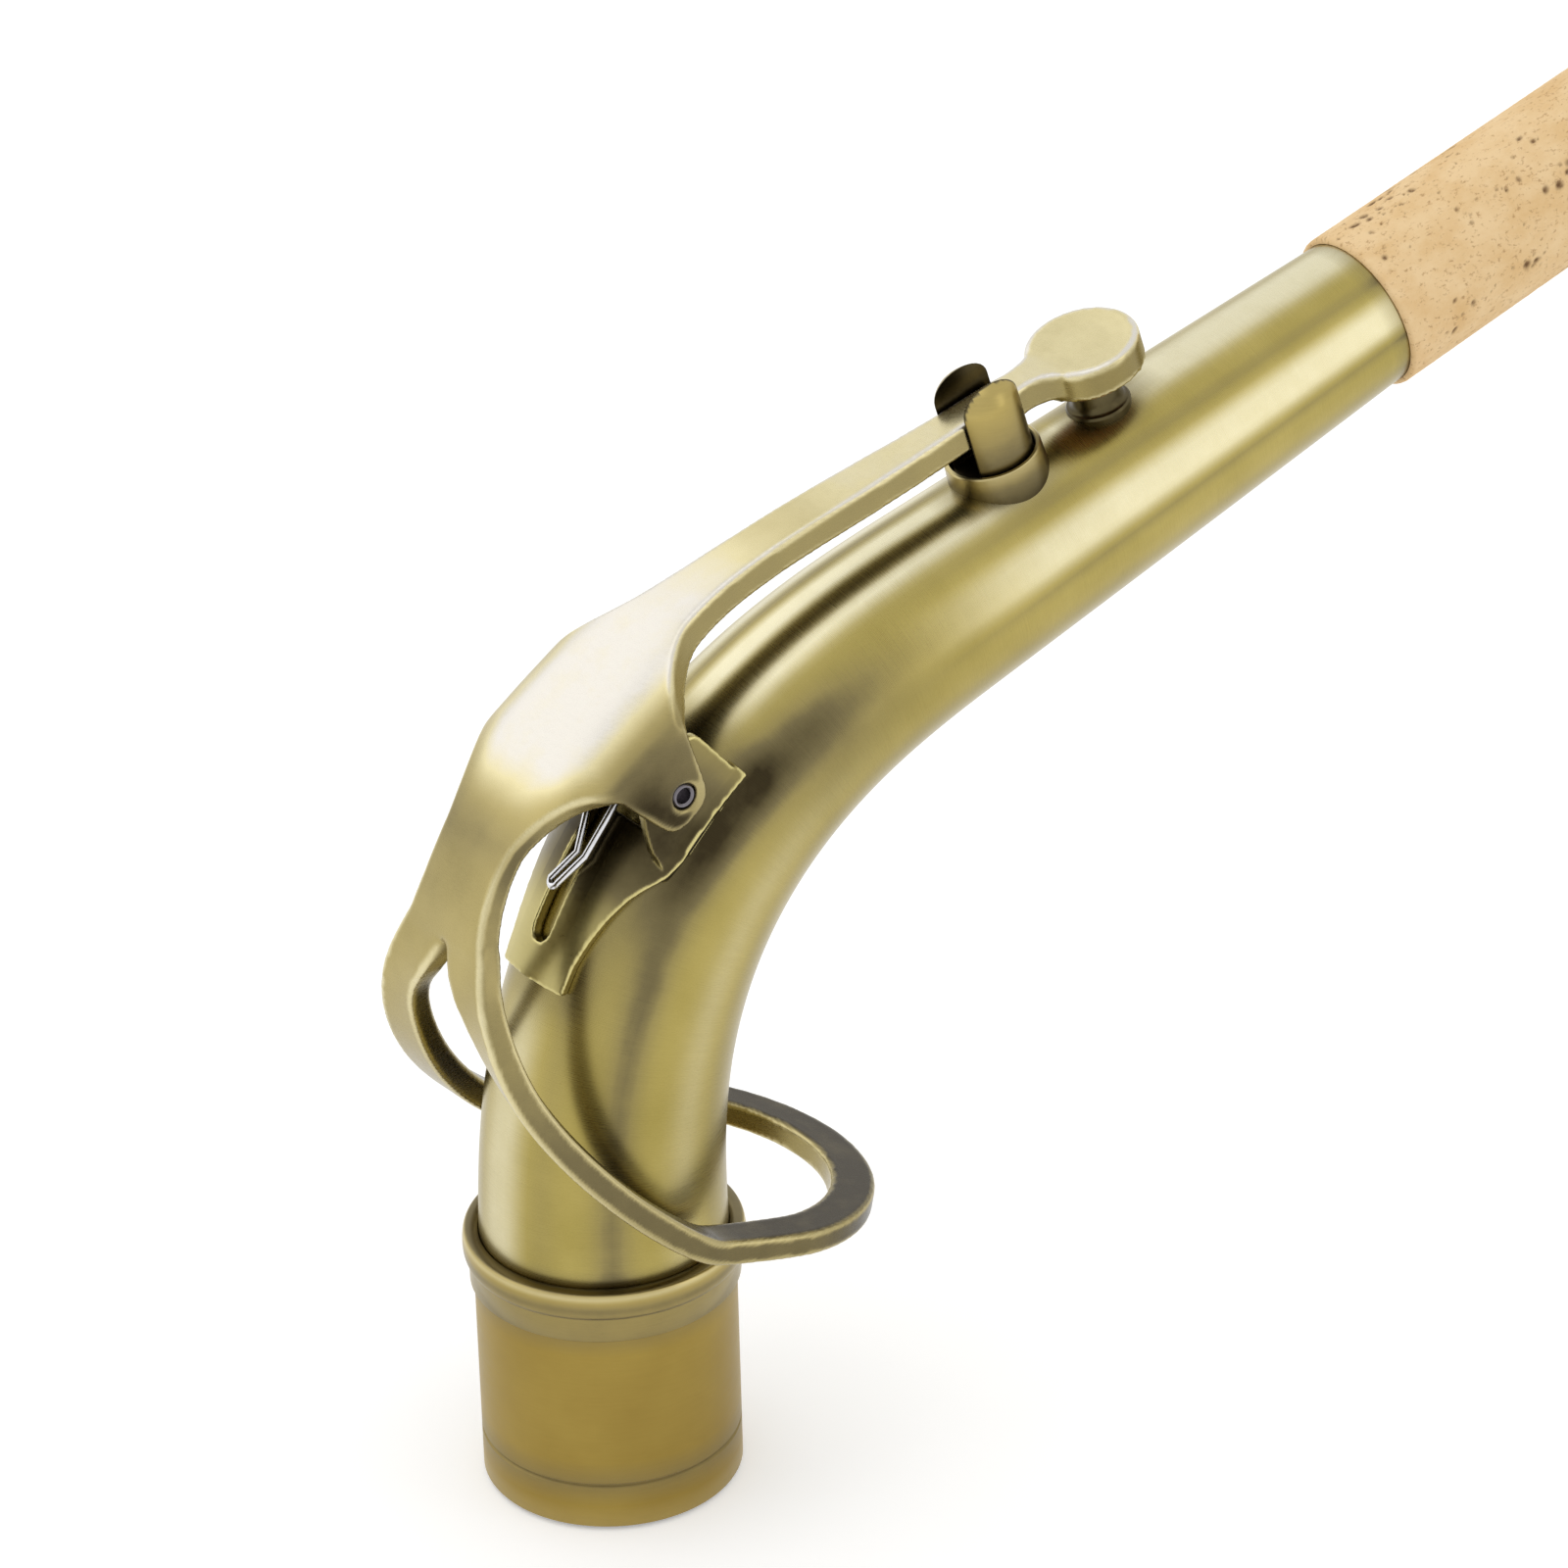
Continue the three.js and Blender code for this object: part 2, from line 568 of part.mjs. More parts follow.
function makePlate() {
  const sections = TAIL_SHARES.map(([back, width, stand]) => {
    const thicken = Math.max(0, (back - TAIL_THIN_SHARE) / (1 - TAIL_THIN_SHARE));
    const thickness = THREE.MathUtils.lerp(PLATE_THICKNESS, BRANCH_THICKNESS, thicken);
    const station = HINGE_STATION - KEY_TAIL_REACH * back;
    return keySection(station, SHIELD_HALF_WIDTH * width, PLATE_STAND * stand, thickness);
  });
  for (const [ahead, width, stand] of ARM_SHARES) {
    const halfWidth = THREE.MathUtils.lerp(ARM_HALF_WIDTH, SHIELD_HALF_WIDTH, width);
    const height = THREE.MathUtils.lerp(ARM_STAND, PLATE_STAND, stand);
    const thicken = Math.min(1, ahead / ARM_THICK_SHARE);
    const thickness = THREE.MathUtils.lerp(PLATE_THICKNESS, ARM_THICKNESS, thicken);
    sections.push(keySection(HINGE_STATION + armReach * ahead, halfWidth, height, thickness));
  }
  return loft(sections);
}

// Ear beside the saddle's wall, drawn in the hinge's frame
const EAR_FRONT_SHARES = [[2, 0.55], [2.25, 0.78]];

function makeEar(side) {
  const shape = new THREE.Shape();
  shape.moveTo(-EAR_REAR - EAR_RADIUS / 5, EAR_HEIGHT);
  shape.lineTo(-EAR_REAR, 0);
  shape.quadraticCurveTo(-EAR_REAR, -EAR_RADIUS, 0, -EAR_RADIUS);
  shape.absarc(0, 0, EAR_RADIUS, -Math.PI / 2, -Math.PI / 8, false);
  for (const [ahead, height] of EAR_FRONT_SHARES) {
    shape.lineTo(EAR_RADIUS * ahead, EAR_HEIGHT * height);
  }
  shape.lineTo(0, EAR_HEIGHT);
  const ear = extruded(shape, EAR_THICKNESS);
  ear.translate(0, 0, side > 0 ? SHIELD_HALF_WIDTH - EAR_THICKNESS : -SHIELD_HALF_WIDTH);
  return ear.applyMatrix4(hingeFrame);
}

// Side view of a branch's outer face, from the plate's tail down and forward to the ring's underside
const tailStand = PLATE_STAND * TAIL_SHARES[0][2] - crownDrop(SHIELD_HALF_WIDTH * TAIL_SHARES[0][1]);
const tailStation = HINGE_STATION - KEY_TAIL_REACH;
const branchRoot = flat(pointAt(tailStation, radiusAt(tailStation) + tailStand, 0));
const rootStation = tailStation + BRANCH_ROOT_LENGTH / 2;
const aboveRoot = flat(pointAt(rootStation, radiusAt(rootStation) + PLATE_STAND * TAIL_SHARES[1][2], 0));
const tailHeading = branchRoot.clone().sub(aboveRoot).normalize();
const rootHeading = tailHeading.clone().rotateAround(new THREE.Vector2(), BRANCH_ROOT_TURN);
const ringHeading = new THREE.Vector2(Math.cos(RING_TILT), -Math.sin(RING_TILT));
const ringUp = new THREE.Vector2(Math.sin(RING_TILT), Math.cos(RING_TILT));
const ringTop = new THREE.Vector2(RING_CENTRE_X, RING_TOP_HEIGHT);
const ringCentre = ringTop.clone().addScaledVector(ringUp, -RING_THICKNESS);
const branchToe = ringCentre.clone().addScaledVector(ringHeading, -BRANCH_TOE_SETBACK);
const branchCurve = new THREE.CubicBezierCurve(
  branchRoot,
  branchRoot.clone().addScaledVector(rootHeading, BRANCH_ROOT_PULL),
  branchToe.clone().addScaledVector(ringHeading, -BRANCH_TOE_PULL),
  branchToe);
const ringInner = TUBE_RADIUS + RING_GAP;
const ringMiddle = ringInner + RING_WIDTH / 2;

function flat(point) {
  return new THREE.Vector2(point.x, point.z);
}

// Branch: shares of its curve, then its spread, its way from root to branch width and then to ring width
const BRANCH_SPREAD_SHARES = [
  [0, 0.19, 0], [0.06, 0.255, 0.3], [0.125, 0.375, 0.8], [0.19, 0.46, 1], [0.25, 0.52, 1],
  [0.375, 0.635, 1], [0.5, 0.765, 1], [0.62, 0.87, 1], [0.74, 0.935, 1], [0.85, 0.96, 1],
  [0.93, 0.955, 1], [1, 0.945, 1],
];
const ROOT_WIDTH_SHARE = 0.7;
const ROOT_SPREAD_SHARE = 0.42;
const RING_WIDTH_FROM_SHARE = 0.7;
const TILT_FADES_FROM_SHARE = 0.25;
const TILT_GONE_SHARE = 0.75;
function loopStops() {
  const rootWidth = TAIL_SHARES[0][1] * SHIELD_HALF_WIDTH;
  const stops = [{
    point: branchRoot.clone().addScaledVector(tailHeading, -BRANCH_ROOT_LENGTH),
    heading: tailHeading,
    y: rootWidth * ROOT_SPREAD_SHARE,
    width: rootWidth * ROOT_WIDTH_SHARE,
    thickness: BRANCH_THICKNESS,
    tilt: 0,
  }];
  for (const [t, spread, narrowed] of BRANCH_SPREAD_SHARES) {
    const toRing = THREE.MathUtils.smoothstep(t, RING_WIDTH_FROM_SHARE, 1);
    const branchWidth = THREE.MathUtils.lerp(rootWidth, BRANCH_WIDTH, narrowed);
    const levelled = THREE.MathUtils.smoothstep(t, TILT_FADES_FROM_SHARE, TILT_GONE_SHARE);
    stops.push({
      point: branchCurve.getPoint(t),
      heading: branchCurve.getTangent(t),
      y: ringMiddle * spread,
      width: THREE.MathUtils.lerp(branchWidth, RING_WIDTH, toRing),
      thickness: THREE.MathUtils.lerp(BRANCH_THICKNESS, RING_THICKNESS, toRing),
      tilt: BRANCH_TILT * narrowed * (1 - levelled),
    });
  }
  for (let i = 0; i <= RING_STEPS; i++) {
    const turn = Math.PI / 2 * (1 - i / RING_STEPS);
    const along = ringMiddle * Math.cos(turn);
    stops.push({
      point: ringCentre.clone().addScaledVector(ringHeading, along),
      heading: ringHeading,
      y: ringMiddle * Math.sin(turn),
      width: RING_WIDTH,
      thickness: RING_THICKNESS,
      tilt: 0,
    });
  }
  return stops;
}

function makeLoop() {
  const half = loopStops();
  const mirrored = half.slice(0, -1).reverse().map((stop) => ({ ...stop, y: -stop.y }));
  const stops = [...half, ...mirrored];
  const places = stops.map(({ point, y }) => new THREE.Vector3(point.x, y, point.y));
  const round = KEY_EDGE_ROUND;
  const sections = stops.map(({ heading, width, thickness, tilt }, i) => {
    const before = places[Math.max(i - 1, 0)];
    const after = places[Math.min(i + 1, places.length - 1)];
    const tangent = after.clone().sub(before).normalize();
    const inward = new THREE.Vector3(-heading.y, 0, heading.x);
    const across = inward.clone().cross(tangent).normalize();
    const middle = places[i].clone().addScaledVector(inward, thickness / 2);
    across.applyAxisAngle(tangent, -tilt);
    inward.applyAxisAngle(tangent, -tilt);
    const halfWidth = width / 2;
    const outline = [
      [halfWidth - round, 0], [halfWidth, round],
      [halfWidth, thickness - round], [halfWidth - round, thickness],
      [round - halfWidth, thickness], [-halfWidth, thickness - round],
      [-halfWidth, round], [round - halfWidth, 0],
    ].map(([u, v]) => new THREE.Vector2(u, v));
    return {
      outline,
      place: (u, v) => middle.clone().addScaledVector(across, u)
        .addScaledVector(inward, v - thickness / 2),
    };
  });
  return loft(sections);
}

// Domes: radius share and height share, from the edge to the middle
const DOME_SHARES = [[1, -0.5], [0.94, 0], [0.6, 0.65], [0, 1]];
const POST_DOME_SHARES = [[1, 0], [0.92, 0.4], [0.71, 0.72], [0.38, 0.93], [0, 1]];

// Cup and pad, lathed about the outward line over the pip
const padBottom = PIP_RISE + PAD_GAP;
const padTop = padBottom + PAD_THICKNESS;
const recessRadius = PAD_RADIUS + PAD_GAP;
const cupRadius = recessRadius + CUP_WALL;
const cupRoofUnder = padTop + PAD_GAP;

function makeCup() {
  const rim = cupRoofUnder - CUP_DEPTH;
  const shoulder = cupRoofUnder + CUP_ROOF;
  return lathe([
    [0, cupRoofUnder], [recessRadius, cupRoofUnder], [recessRadius, rim], [cupRadius, rim],
    ...DOME_SHARES.map(([r, h]) => [cupRadius * r, shoulder + CUP_DOME * h]),
  ], TUBE_SIDES).applyMatrix4(padFrame);
}

function makePad() {
  return disc(PAD_RADIUS, padBottom, padTop, TUBE_SIDES);
}

function makeKey() {
  const recess = disc(recessRadius, -padTop, cupRoofUnder, TUBE_SIDES).applyMatrix4(padFrame);
  let key = solidOf(makePlate()).subtract(solidOf(recess));
  key = key.add(solidOf(makeCup())).add(solidOf(makeLoop()));
  for (const side of [-1, 1]) {
    key = key.add(solidOf(makeEar(side)));
  }
  const hole = disc(ROD_RADIUS + ROD_CLEARANCE, -2 * SHIELD_HALF_WIDTH, 2 * SHIELD_HALF_WIDTH, SMALL_SIDES);
  hole.rotateX(Math.PI / 2);
  return geometryOf(key.subtract(solidOf(hole.applyMatrix4(hingeFrame))));
}

// Pip, guide ring and guide fork stand on the crown, and their feet are cut to it
function cutToCrown(geometry, station, frame) {
  const reach = 2 * TUBE_RADIUS;
  const crown = tubeSolid(SEAT_GAP, station - reach, station + reach);
  return solidOf(geometry.applyMatrix4(frame)).subtract(crown);
}

function makePip() {
  const flare = lathe([
    [0, -PIP_FLARE_RADIUS], [PIP_FLARE_RADIUS, -PIP_FLARE_RADIUS], [PIP_FLARE_RADIUS, SEAT_GAP],
    [PIP_RADIUS + (PIP_FLARE_RADIUS - PIP_RADIUS) / 4, PIP_FLARE_RISE / 2], [PIP_RADIUS, PIP_FLARE_RISE],
    [PIP_RADIUS, PIP_RISE], [0, PIP_RISE],
  ], SMALL_SIDES);
  const spigot = disc(pipSpigotRadius, -PIP_SPIGOT_DEPTH - TUBE_WALL, PIP_FLARE_RISE, SMALL_SIDES);
  const bore = disc(PIP_BORE_RADIUS, -2 * PIP_SPIGOT_DEPTH, PIP_RISE + CUT_OVERRUN, SMALL_SIDES);
  return geometryOf(cutToCrown(flare, PAD_STATION, padFrame)
    .add(solidOf(spigot.applyMatrix4(padFrame)))
    .subtract(solidOf(bore.applyMatrix4(padFrame))));
}

const guideRingInner = GUIDE_POST_RADIUS + GUIDE_RING_GAP;

function makeGuideRing() {
  const outer = guideRingInner + GUIDE_RING_WALL;
  const ring = lathe([
    [guideRingInner, -outer], [outer + GUIDE_RING_FOOT, -outer], [outer, GUIDE_RING_RISE],
    [guideRingInner, GUIDE_RING_RISE], [guideRingInner, -outer],
  ], TUBE_SIDES);
  return geometryOf(cutToCrown(ring, GUIDE_STATION, guideFrame));
}

function makeGuideFork() {
  const shoulder = GUIDE_POST_RISE - GUIDE_DOME;
  const post = lathe([
    [0, -GUIDE_POST_RADIUS], [GUIDE_POST_RADIUS, -GUIDE_POST_RADIUS],
    ...POST_DOME_SHARES.map(([r, h]) => [GUIDE_POST_RADIUS * r, shoulder + GUIDE_DOME * h]),
  ], SMALL_SIDES);
  const slotWidth = 2 * (ARM_HALF_WIDTH + GUIDE_SIDE_GAP);
  const slot = new THREE.BoxGeometry(4 * GUIDE_POST_RADIUS, GUIDE_POST_RISE, slotWidth);
  slot.translate(0, GUIDE_FLOOR + GUIDE_POST_RISE / 2, 0);
  const footed = cutToCrown(post, GUIDE_STATION, guideFrame);
  return geometryOf(footed.subtract(solidOf(slot.applyMatrix4(guideFrame))));
}

// Spring wire: half of its path, from the slot's tip to the end under the plate
const coilRadius = (ROD_RADIUS + COIL_GAP + WIRE_RADIUS) / Math.cos(Math.PI / CURL_STEPS) ** 0.5;

function springHalf(side) {
  const inHinge = (x, y, z) => new THREE.Vector3(x, y, z * side).applyMatrix4(hingeFrame);
  const inSlot = (back, height, z) => {
    const station = HINGE_STATION - back;
    return pointAt(station, radiusAt(station) + height, -z * side);
  };
  const path = [];
  const overSheet = SEAT_GAP + SHEET_THICKNESS + WIRE_RADIUS + BRIDGE_CLEARANCE;
  for (let i = 0; i < BRIDGE_TIP_STEPS; i++) {
    const turn = Math.PI / 2 * (i + 0.5) / BRIDGE_TIP_STEPS;
    const back = BRIDGE_TIP_REACH + BRIDGE_HALF_WIDTH * Math.cos(turn);
    path.push(inSlot(back, BRIDGE_TIP_HEIGHT, BRIDGE_HALF_WIDTH * Math.sin(turn)));
  }
  path.push(inSlot(BRIDGE_BEND_REACH, overSheet, BRIDGE_HALF_WIDTH));
  path.push(inSlot(SPRING_WELL_REACH - WIRE_RADIUS, overSheet, COIL_START - WIRE_RADIUS));
  const start = -Math.PI / 2;
  const sweep = COIL_LEAVE_ANGLE - start + 2 * Math.PI * CURLS;
  const steps = Math.round(sweep / (2 * Math.PI) * CURL_STEPS);
  for (let i = 0; i <= steps; i++) {
    const turn = start + sweep * i / steps;
    const z = COIL_START + COIL_PITCH * sweep / (2 * Math.PI) * i / steps;
    path.push(inHinge(coilRadius * Math.cos(turn), coilRadius * Math.sin(turn), z));
  }
  const endZ = COIL_START + COIL_PITCH * sweep / (2 * Math.PI) + WIRE_RADIUS;
  const x = coilRadius * Math.cos(COIL_LEAVE_ANGLE) - SPRING_END_REACH * Math.sin(COIL_LEAVE_ANGLE);
  const y = coilRadius * Math.sin(COIL_LEAVE_ANGLE) + SPRING_END_REACH * Math.cos(COIL_LEAVE_ANGLE);
  path.push(inHinge(x, y, endZ));
  return path;
}

function springPath() {
  return [...springHalf(1).reverse(), ...springHalf(-1)];
}

function makeSpring() {
  const path = springPath();
  const rings = [];
  let across = new THREE.Vector3(0, 0, 1);
  for (let i = 0; i < path.length; i++) {
    const before = path[Math.max(i - 1, 0)];
    const after = path[Math.min(i + 1, path.length - 1)];
    const tangent = after.clone().sub(before).normalize();
    across = across.clone().addScaledVector(tangent, -across.dot(tangent)).normalize();
    const other = tangent.clone().cross(across);
    const ring = [];
    for (let j = 0; j < WIRE_SIDES; j++) {
      const turn = 2 * Math.PI * j / WIRE_SIDES;
      ring.push(path[i].clone()
        .addScaledVector(across, WIRE_RADIUS * Math.cos(turn))
        .addScaledVector(other, WIRE_RADIUS * Math.sin(turn)));
    }
    rings.push(ring);
  }
  return surfaceOf(rings, fanOf(WIRE_SIDES));
}

// Least gap of the wire to itself, measured between points that the wire's bends bring together
const BENT_BACK_SHARE = 0.7;

function leastSpringGap() {
  const points = [];
  const path = springPath();
  for (let i = 0; i + 1 < path.length; i++) {
    const pieces = Math.ceil(path[i].distanceTo(path[i + 1]) / (WIRE_RADIUS / 2));
    for (let j = 0; j < pieces; j++) points.push(path[i].clone().lerp(path[i + 1], j / pieces));
  }
  const along = [0];
  for (let i = 1; i < points.length; i++) along.push(along[i - 1] + points[i].distanceTo(points[i - 1]));
  let least = Infinity;
  for (let i = 0; i < points.length; i++) {
    for (let j = i + 1; j < points.length; j++) {
      const between = along[j] - along[i];
      const apart = points[i].distanceTo(points[j]);
      if (between > 2 * WIRE_RADIUS * Math.PI && apart < BENT_BACK_SHARE * between) {
        least = Math.min(least, apart - 2 * WIRE_RADIUS);
      }
    }
  }
  return least;
}
console.log('spring: least gap of the wire to itself', leastSpringGap().toFixed(2), 'mm');

// Materials
const brass = new THREE.MeshStandardMaterial({ color: 0xa8965a, roughness: 0.38, metalness: 1 });
const plainBrass = new THREE.MeshStandardMaterial({ color: 0xa98c4a, roughness: 0.45, metalness: 1 });
const cork = new THREE.MeshStandardMaterial({ color: 0xe0b98a, roughness: 0.9, metalness: 0 });
const padCork = new THREE.MeshStandardMaterial({ color: 0xb07a45, roughness: 0.9, metalness: 0 });
const steel = new THREE.MeshStandardMaterial({ color: 0xb9bcc0, roughness: 0.25, metalness: 1 });
const rodSteel = new THREE.MeshStandardMaterial({ color: 0x74757a, roughness: 0.4, metalness: 1 });

function addPart(parent, name, geometry, material) {
  const mesh = new THREE.Mesh(geometry, material);
  mesh.name = name;
  parent.add(mesh);
  return mesh;
}

const neck = new THREE.Group();
addPart(neck, 'neck_tube', makeTube(), brass);
for (const [name, geometry] of [['tenon_sleeve', makeTenon()], ['stop_collar', makeCollar()]]) {
  addPart(neck, name, geometry, plainBrass).rotation.x = Math.PI / 2;
}
addPart(neck, 'mouthpiece_cork', makeCork(), cork);
addPart(neck, 'tip_ring', makeTipRing(), brass);
addPart(neck, 'key_saddle', makeSaddle(), brass);
addPart(neck, 'octave_pip', makePip(), brass);
addPart(neck, 'guide_base_ring', makeGuideRing(), brass);
addPart(neck, 'guide_fork', makeGuideFork(), brass);
addPart(neck, 'octave_spring', makeSpring(), steel);
addPart(neck, 'octave_key', makeKey(), brass);

const pivot = new THREE.Group();
pivot.applyMatrix4(hingeFrame);
addPart(pivot, 'pivot_rod', makeRod(), rodSteel);
neck.add(pivot);

const padSeat = new THREE.Group();
padSeat.applyMatrix4(padFrame);
addPart(padSeat, 'key_pad', makePad(), padCork);
neck.add(padSeat);

export default neck;
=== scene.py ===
"""Looks of the alto saxophone neck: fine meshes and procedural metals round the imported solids."""
import json
from math import asin, cos, pi, radians, sin, sqrt

import bmesh
import bpy
import numpy as np
from mathutils import Matrix, Vector, noise

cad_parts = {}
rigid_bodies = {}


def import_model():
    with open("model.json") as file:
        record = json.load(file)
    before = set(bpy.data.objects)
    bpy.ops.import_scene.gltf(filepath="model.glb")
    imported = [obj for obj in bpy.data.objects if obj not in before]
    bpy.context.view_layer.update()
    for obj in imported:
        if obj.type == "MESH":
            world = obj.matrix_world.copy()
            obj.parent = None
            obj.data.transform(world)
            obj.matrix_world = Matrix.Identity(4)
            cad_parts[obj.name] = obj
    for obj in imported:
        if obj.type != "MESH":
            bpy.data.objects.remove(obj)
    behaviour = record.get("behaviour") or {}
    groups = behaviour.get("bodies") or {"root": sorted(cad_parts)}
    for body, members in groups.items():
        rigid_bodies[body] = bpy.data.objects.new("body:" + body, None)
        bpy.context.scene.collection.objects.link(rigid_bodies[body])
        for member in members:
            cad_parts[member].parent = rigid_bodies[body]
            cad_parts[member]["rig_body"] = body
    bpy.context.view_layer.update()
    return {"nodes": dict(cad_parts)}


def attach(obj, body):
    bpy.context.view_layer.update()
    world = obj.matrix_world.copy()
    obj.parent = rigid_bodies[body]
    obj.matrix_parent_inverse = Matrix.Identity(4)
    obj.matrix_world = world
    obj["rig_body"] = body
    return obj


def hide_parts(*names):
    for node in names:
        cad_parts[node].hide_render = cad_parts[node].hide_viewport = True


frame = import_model()

# All shapes are made in millimetres and scaled once, when a piece is finished
MM = 0.001

# Tube, as in the CAD source: stations are distances along the centreline from the bend's start
BEND_START_HEIGHT = 4.4
BEND_LENGTH = 72.2
MOUTH_ANGLE = radians(16.8)
BEND_EASE_SHARE = 0.838
TUBE_RADIUS = 11.65
RADIUS_AT_CORK = 7.46
RADIUS_AT_MOUTH = 6.6
TUBE_SWELL = 0.11
TUBE_WALL = 0.75
TUBE_SOCKET_DEPTH = 16
CORK_STATION = 124.7
CORK_LENGTH = 58
TIP_RING_LENGTH = 2.2
TIP_RING_WALL = 0.8
SOLDER_GAP = 0.1
CORK_END = CORK_STATION + CORK_LENGTH
MOUTH_STATION = CORK_END + TIP_RING_LENGTH + SOLDER_GAP

TENON_WALL = 0.5
TENON_LENGTH = 20.7
TENON_GROOVE_HEIGHT = 4.6
TENON_GROOVE_WIDTH = 0.5
TENON_GROOVE_DEPTH = 0.2
COLLAR_HEIGHT = 5.3
COLLAR_STEP_HEIGHT = 2.6
COLLAR_STEP_WALL = 0.3
COLLAR_BEAD_WALL = 0.95
COLLAR_BEAD_POWER = 0.32
COLLAR_CHAMFER = 0.12
COLLAR_FILLET = 0.05
COLLAR_BEAD_SHELF = 0.18
COLLAR_BORE_GAP = 0.02
COLLAR_RECESS = 0.9
CORK_THICKNESS = 0.5
CORK_MOUTH_THICKNESS = 1.1

SEAT_GAP = 0.25
SHEET_THICKNESS = 0.9
SADDLE_TAIL_REACH = 16.9
SADDLE_FRONT_REACH = 4.2
SADDLE_TAIL_HALF_WIDTH = 4.3
SADDLE_HALF_WIDTH = 8
SADDLE_WALL_THICKNESS = 1
SADDLE_WALL_HEAD = 2.4
SADDLE_WALL_FRONT = 5.1
SADDLE_WALL_REAR = 6.4
SLOT_HALF_WIDTH = 1.2
SLOT_TAIL_LAND = 2.7
SLOT_END_SHARE = 0.06
SLOT_HEADROOM = 2
WELL_HEADROOM = 9
CUTTER_FOOT = 2
SPRING_WELL_REACH = 3.4
SADDLE_TUBE_GAP = 0.02

HINGE_STATION = 42.5
HINGE_RISE = 2.45
ROD_RADIUS = 1.15
ROD_CLEARANCE = 0.09
ROD_BORE_REACH = 12
ROD_END_HOLE_RADIUS = 0.75
ROD_END_HOLE_DEPTH = 1.2
ROD_HEAD_RADIUS = 1.9
ROD_HEAD_THICKNESS = 0.9
ROD_HEAD_GAP = 0.12
ROD_CHAMFER = 0.12
ROD_DRIVE_WIDTH = 0.5
ROD_DRIVE_DEPTH = 0.45
ROD_NEAR_RECESS = 0.3

SHIELD_HALF_WIDTH = 10
PLATE_STAND = 13
PLATE_THICKNESS = 2
CROWN_DROP = 2.85
CROWN_POWER = 2.7
KEY_TAIL_REACH = 14.85
EDGE_ROUND = 0.4
ROOT_SINK = 0.3
EAR_THICKNESS = 1.7
EAR_RADIUS = 2.3
EAR_REAR = 3.5
EAR_HEIGHT = 6.2
ARM_HALF_WIDTH = 1.9
ARM_STAND = 7.6
ARM_THICKNESS = 2.9

RING_GAP = 2.4
RING_WIDTH = 4.2
RING_THICKNESS = 2.4
RING_TILT = radians(12.6)
RING_CENTRE_X = 9.1
RING_TOP_HEIGHT = 9
BRANCH_WIDTH = 4
BRANCH_THICKNESS = 2.6
BRANCH_TILT = radians(15)
BRANCH_TOE_SETBACK = 6.8
BRANCH_ROOT_PULL = 14.5
BRANCH_TOE_PULL = 5.4
BRANCH_ROOT_LENGTH = 5
BRANCH_OVERLAP = 1.8
BRANCH_ROOT_SPREAD = 0.14
BRANCH_TILT_ONSET = 0.3
BRANCH_ROOT_TURN = radians(-8)

PAD_STATION = 94.8
PIP_RADIUS = 2.4
PIP_FLARE_RADIUS = 3.1
PIP_RISE = 2.9
PIP_FLARE_RISE = 1.2
PIP_BORE_RADIUS = 1.1
PIP_SINK = 2
PAD_GAP = 0.3
PAD_THICKNESS = 2.3
PAD_RADIUS = 4.15
PAD_EDGE = 0.25
CUP_WALL = 1
CUP_DEPTH = 1.6
CUP_ROOF = 1.35
CUP_DOME = 0.3
GUIDE_STATION = 82.6
GUIDE_POST_RADIUS = 3.85
GUIDE_POST_RISE = 10.7
GUIDE_DOME = 2.5
GUIDE_DOME_POWER = 0.85
GUIDE_FLOOR = 1.2
GUIDE_SLOT_REACH = 8
GUIDE_SIDE_GAP = 0.3
GUIDE_BEVEL = 0.18
GUIDE_RING_GAP = 0.2
GUIDE_RING_WALL = 0.55
GUIDE_RING_FOOT = 0.2
GUIDE_RING_RISE = 2.1
# How far the feet of the guide reach into the crown they are soldered to
SOLDER_SINK = 1.6

WIRE_RADIUS = 0.35
COIL_GAP = 0.25
COIL_PITCH = 1.2
COIL_START = 2.2
CURLS = 3
BRIDGE_HALF_WIDTH = 0.6
BRIDGE_BEND_REACH = 7.2
BRIDGE_TIP_REACH = 9.6
BRIDGE_BEND_ASIDE = 1.3
BRIDGE_TIP_ASIDE = -0.35
BRIDGE_CLEARANCE = 0.12
SPRING_END_REACH = 8.1
COIL_LEAVE_ANGLE = radians(50)

# Mesh fineness
TUBE_SIDES = 96
LATHE_SIDES = 128
FITTING_SIDES = 96
CUP_SIDES = 72
ROD_SIDES = 48
WIRE_SIDES = 12
COIL_STEPS = 20
CORNER_STEPS = 5
CORK_ROWS = 300
CORK_SIDES = 260
TUBE_STEPS_OUTSIDE = (0.9, 3)
TUBE_STEPS_INSIDE = (3, 9)
SHEET_ROWS = 60
SHEET_STEPS = 40
PLATE_ROWS = 230
BRANCH_ROWS = 60
RING_STEPS = 34
KEY_VOXEL = 0.24
SADDLE_VOXEL = 0.16
KEY_PASSES = 14
SADDLE_PASSES = 8
FOLD_PASSES = 160
CROTCH_PASSES = 22
PROUD_PASSES = 3
LOOP_PATH_PASSES = 8
LOOP_SIZE_PASSES = 4
# Windows over which the corners of tables are rounded: millimetres, and share of the branch
SHEET_BLUR = 0.5
PLATE_BLUR = 1.3
LOOP_BLUR = 0.07
BLUR_SAMPLES = 9


# Centreline
def heading_at(station):
    t = min(max(station / BEND_LENGTH, 0), 1)
    eased = BEND_EASE_SHARE * t * t * (3 - 2 * t) + (1 - BEND_EASE_SHARE) * t
    return pi / 2 - (pi / 2 - MOUTH_ANGLE) * eased


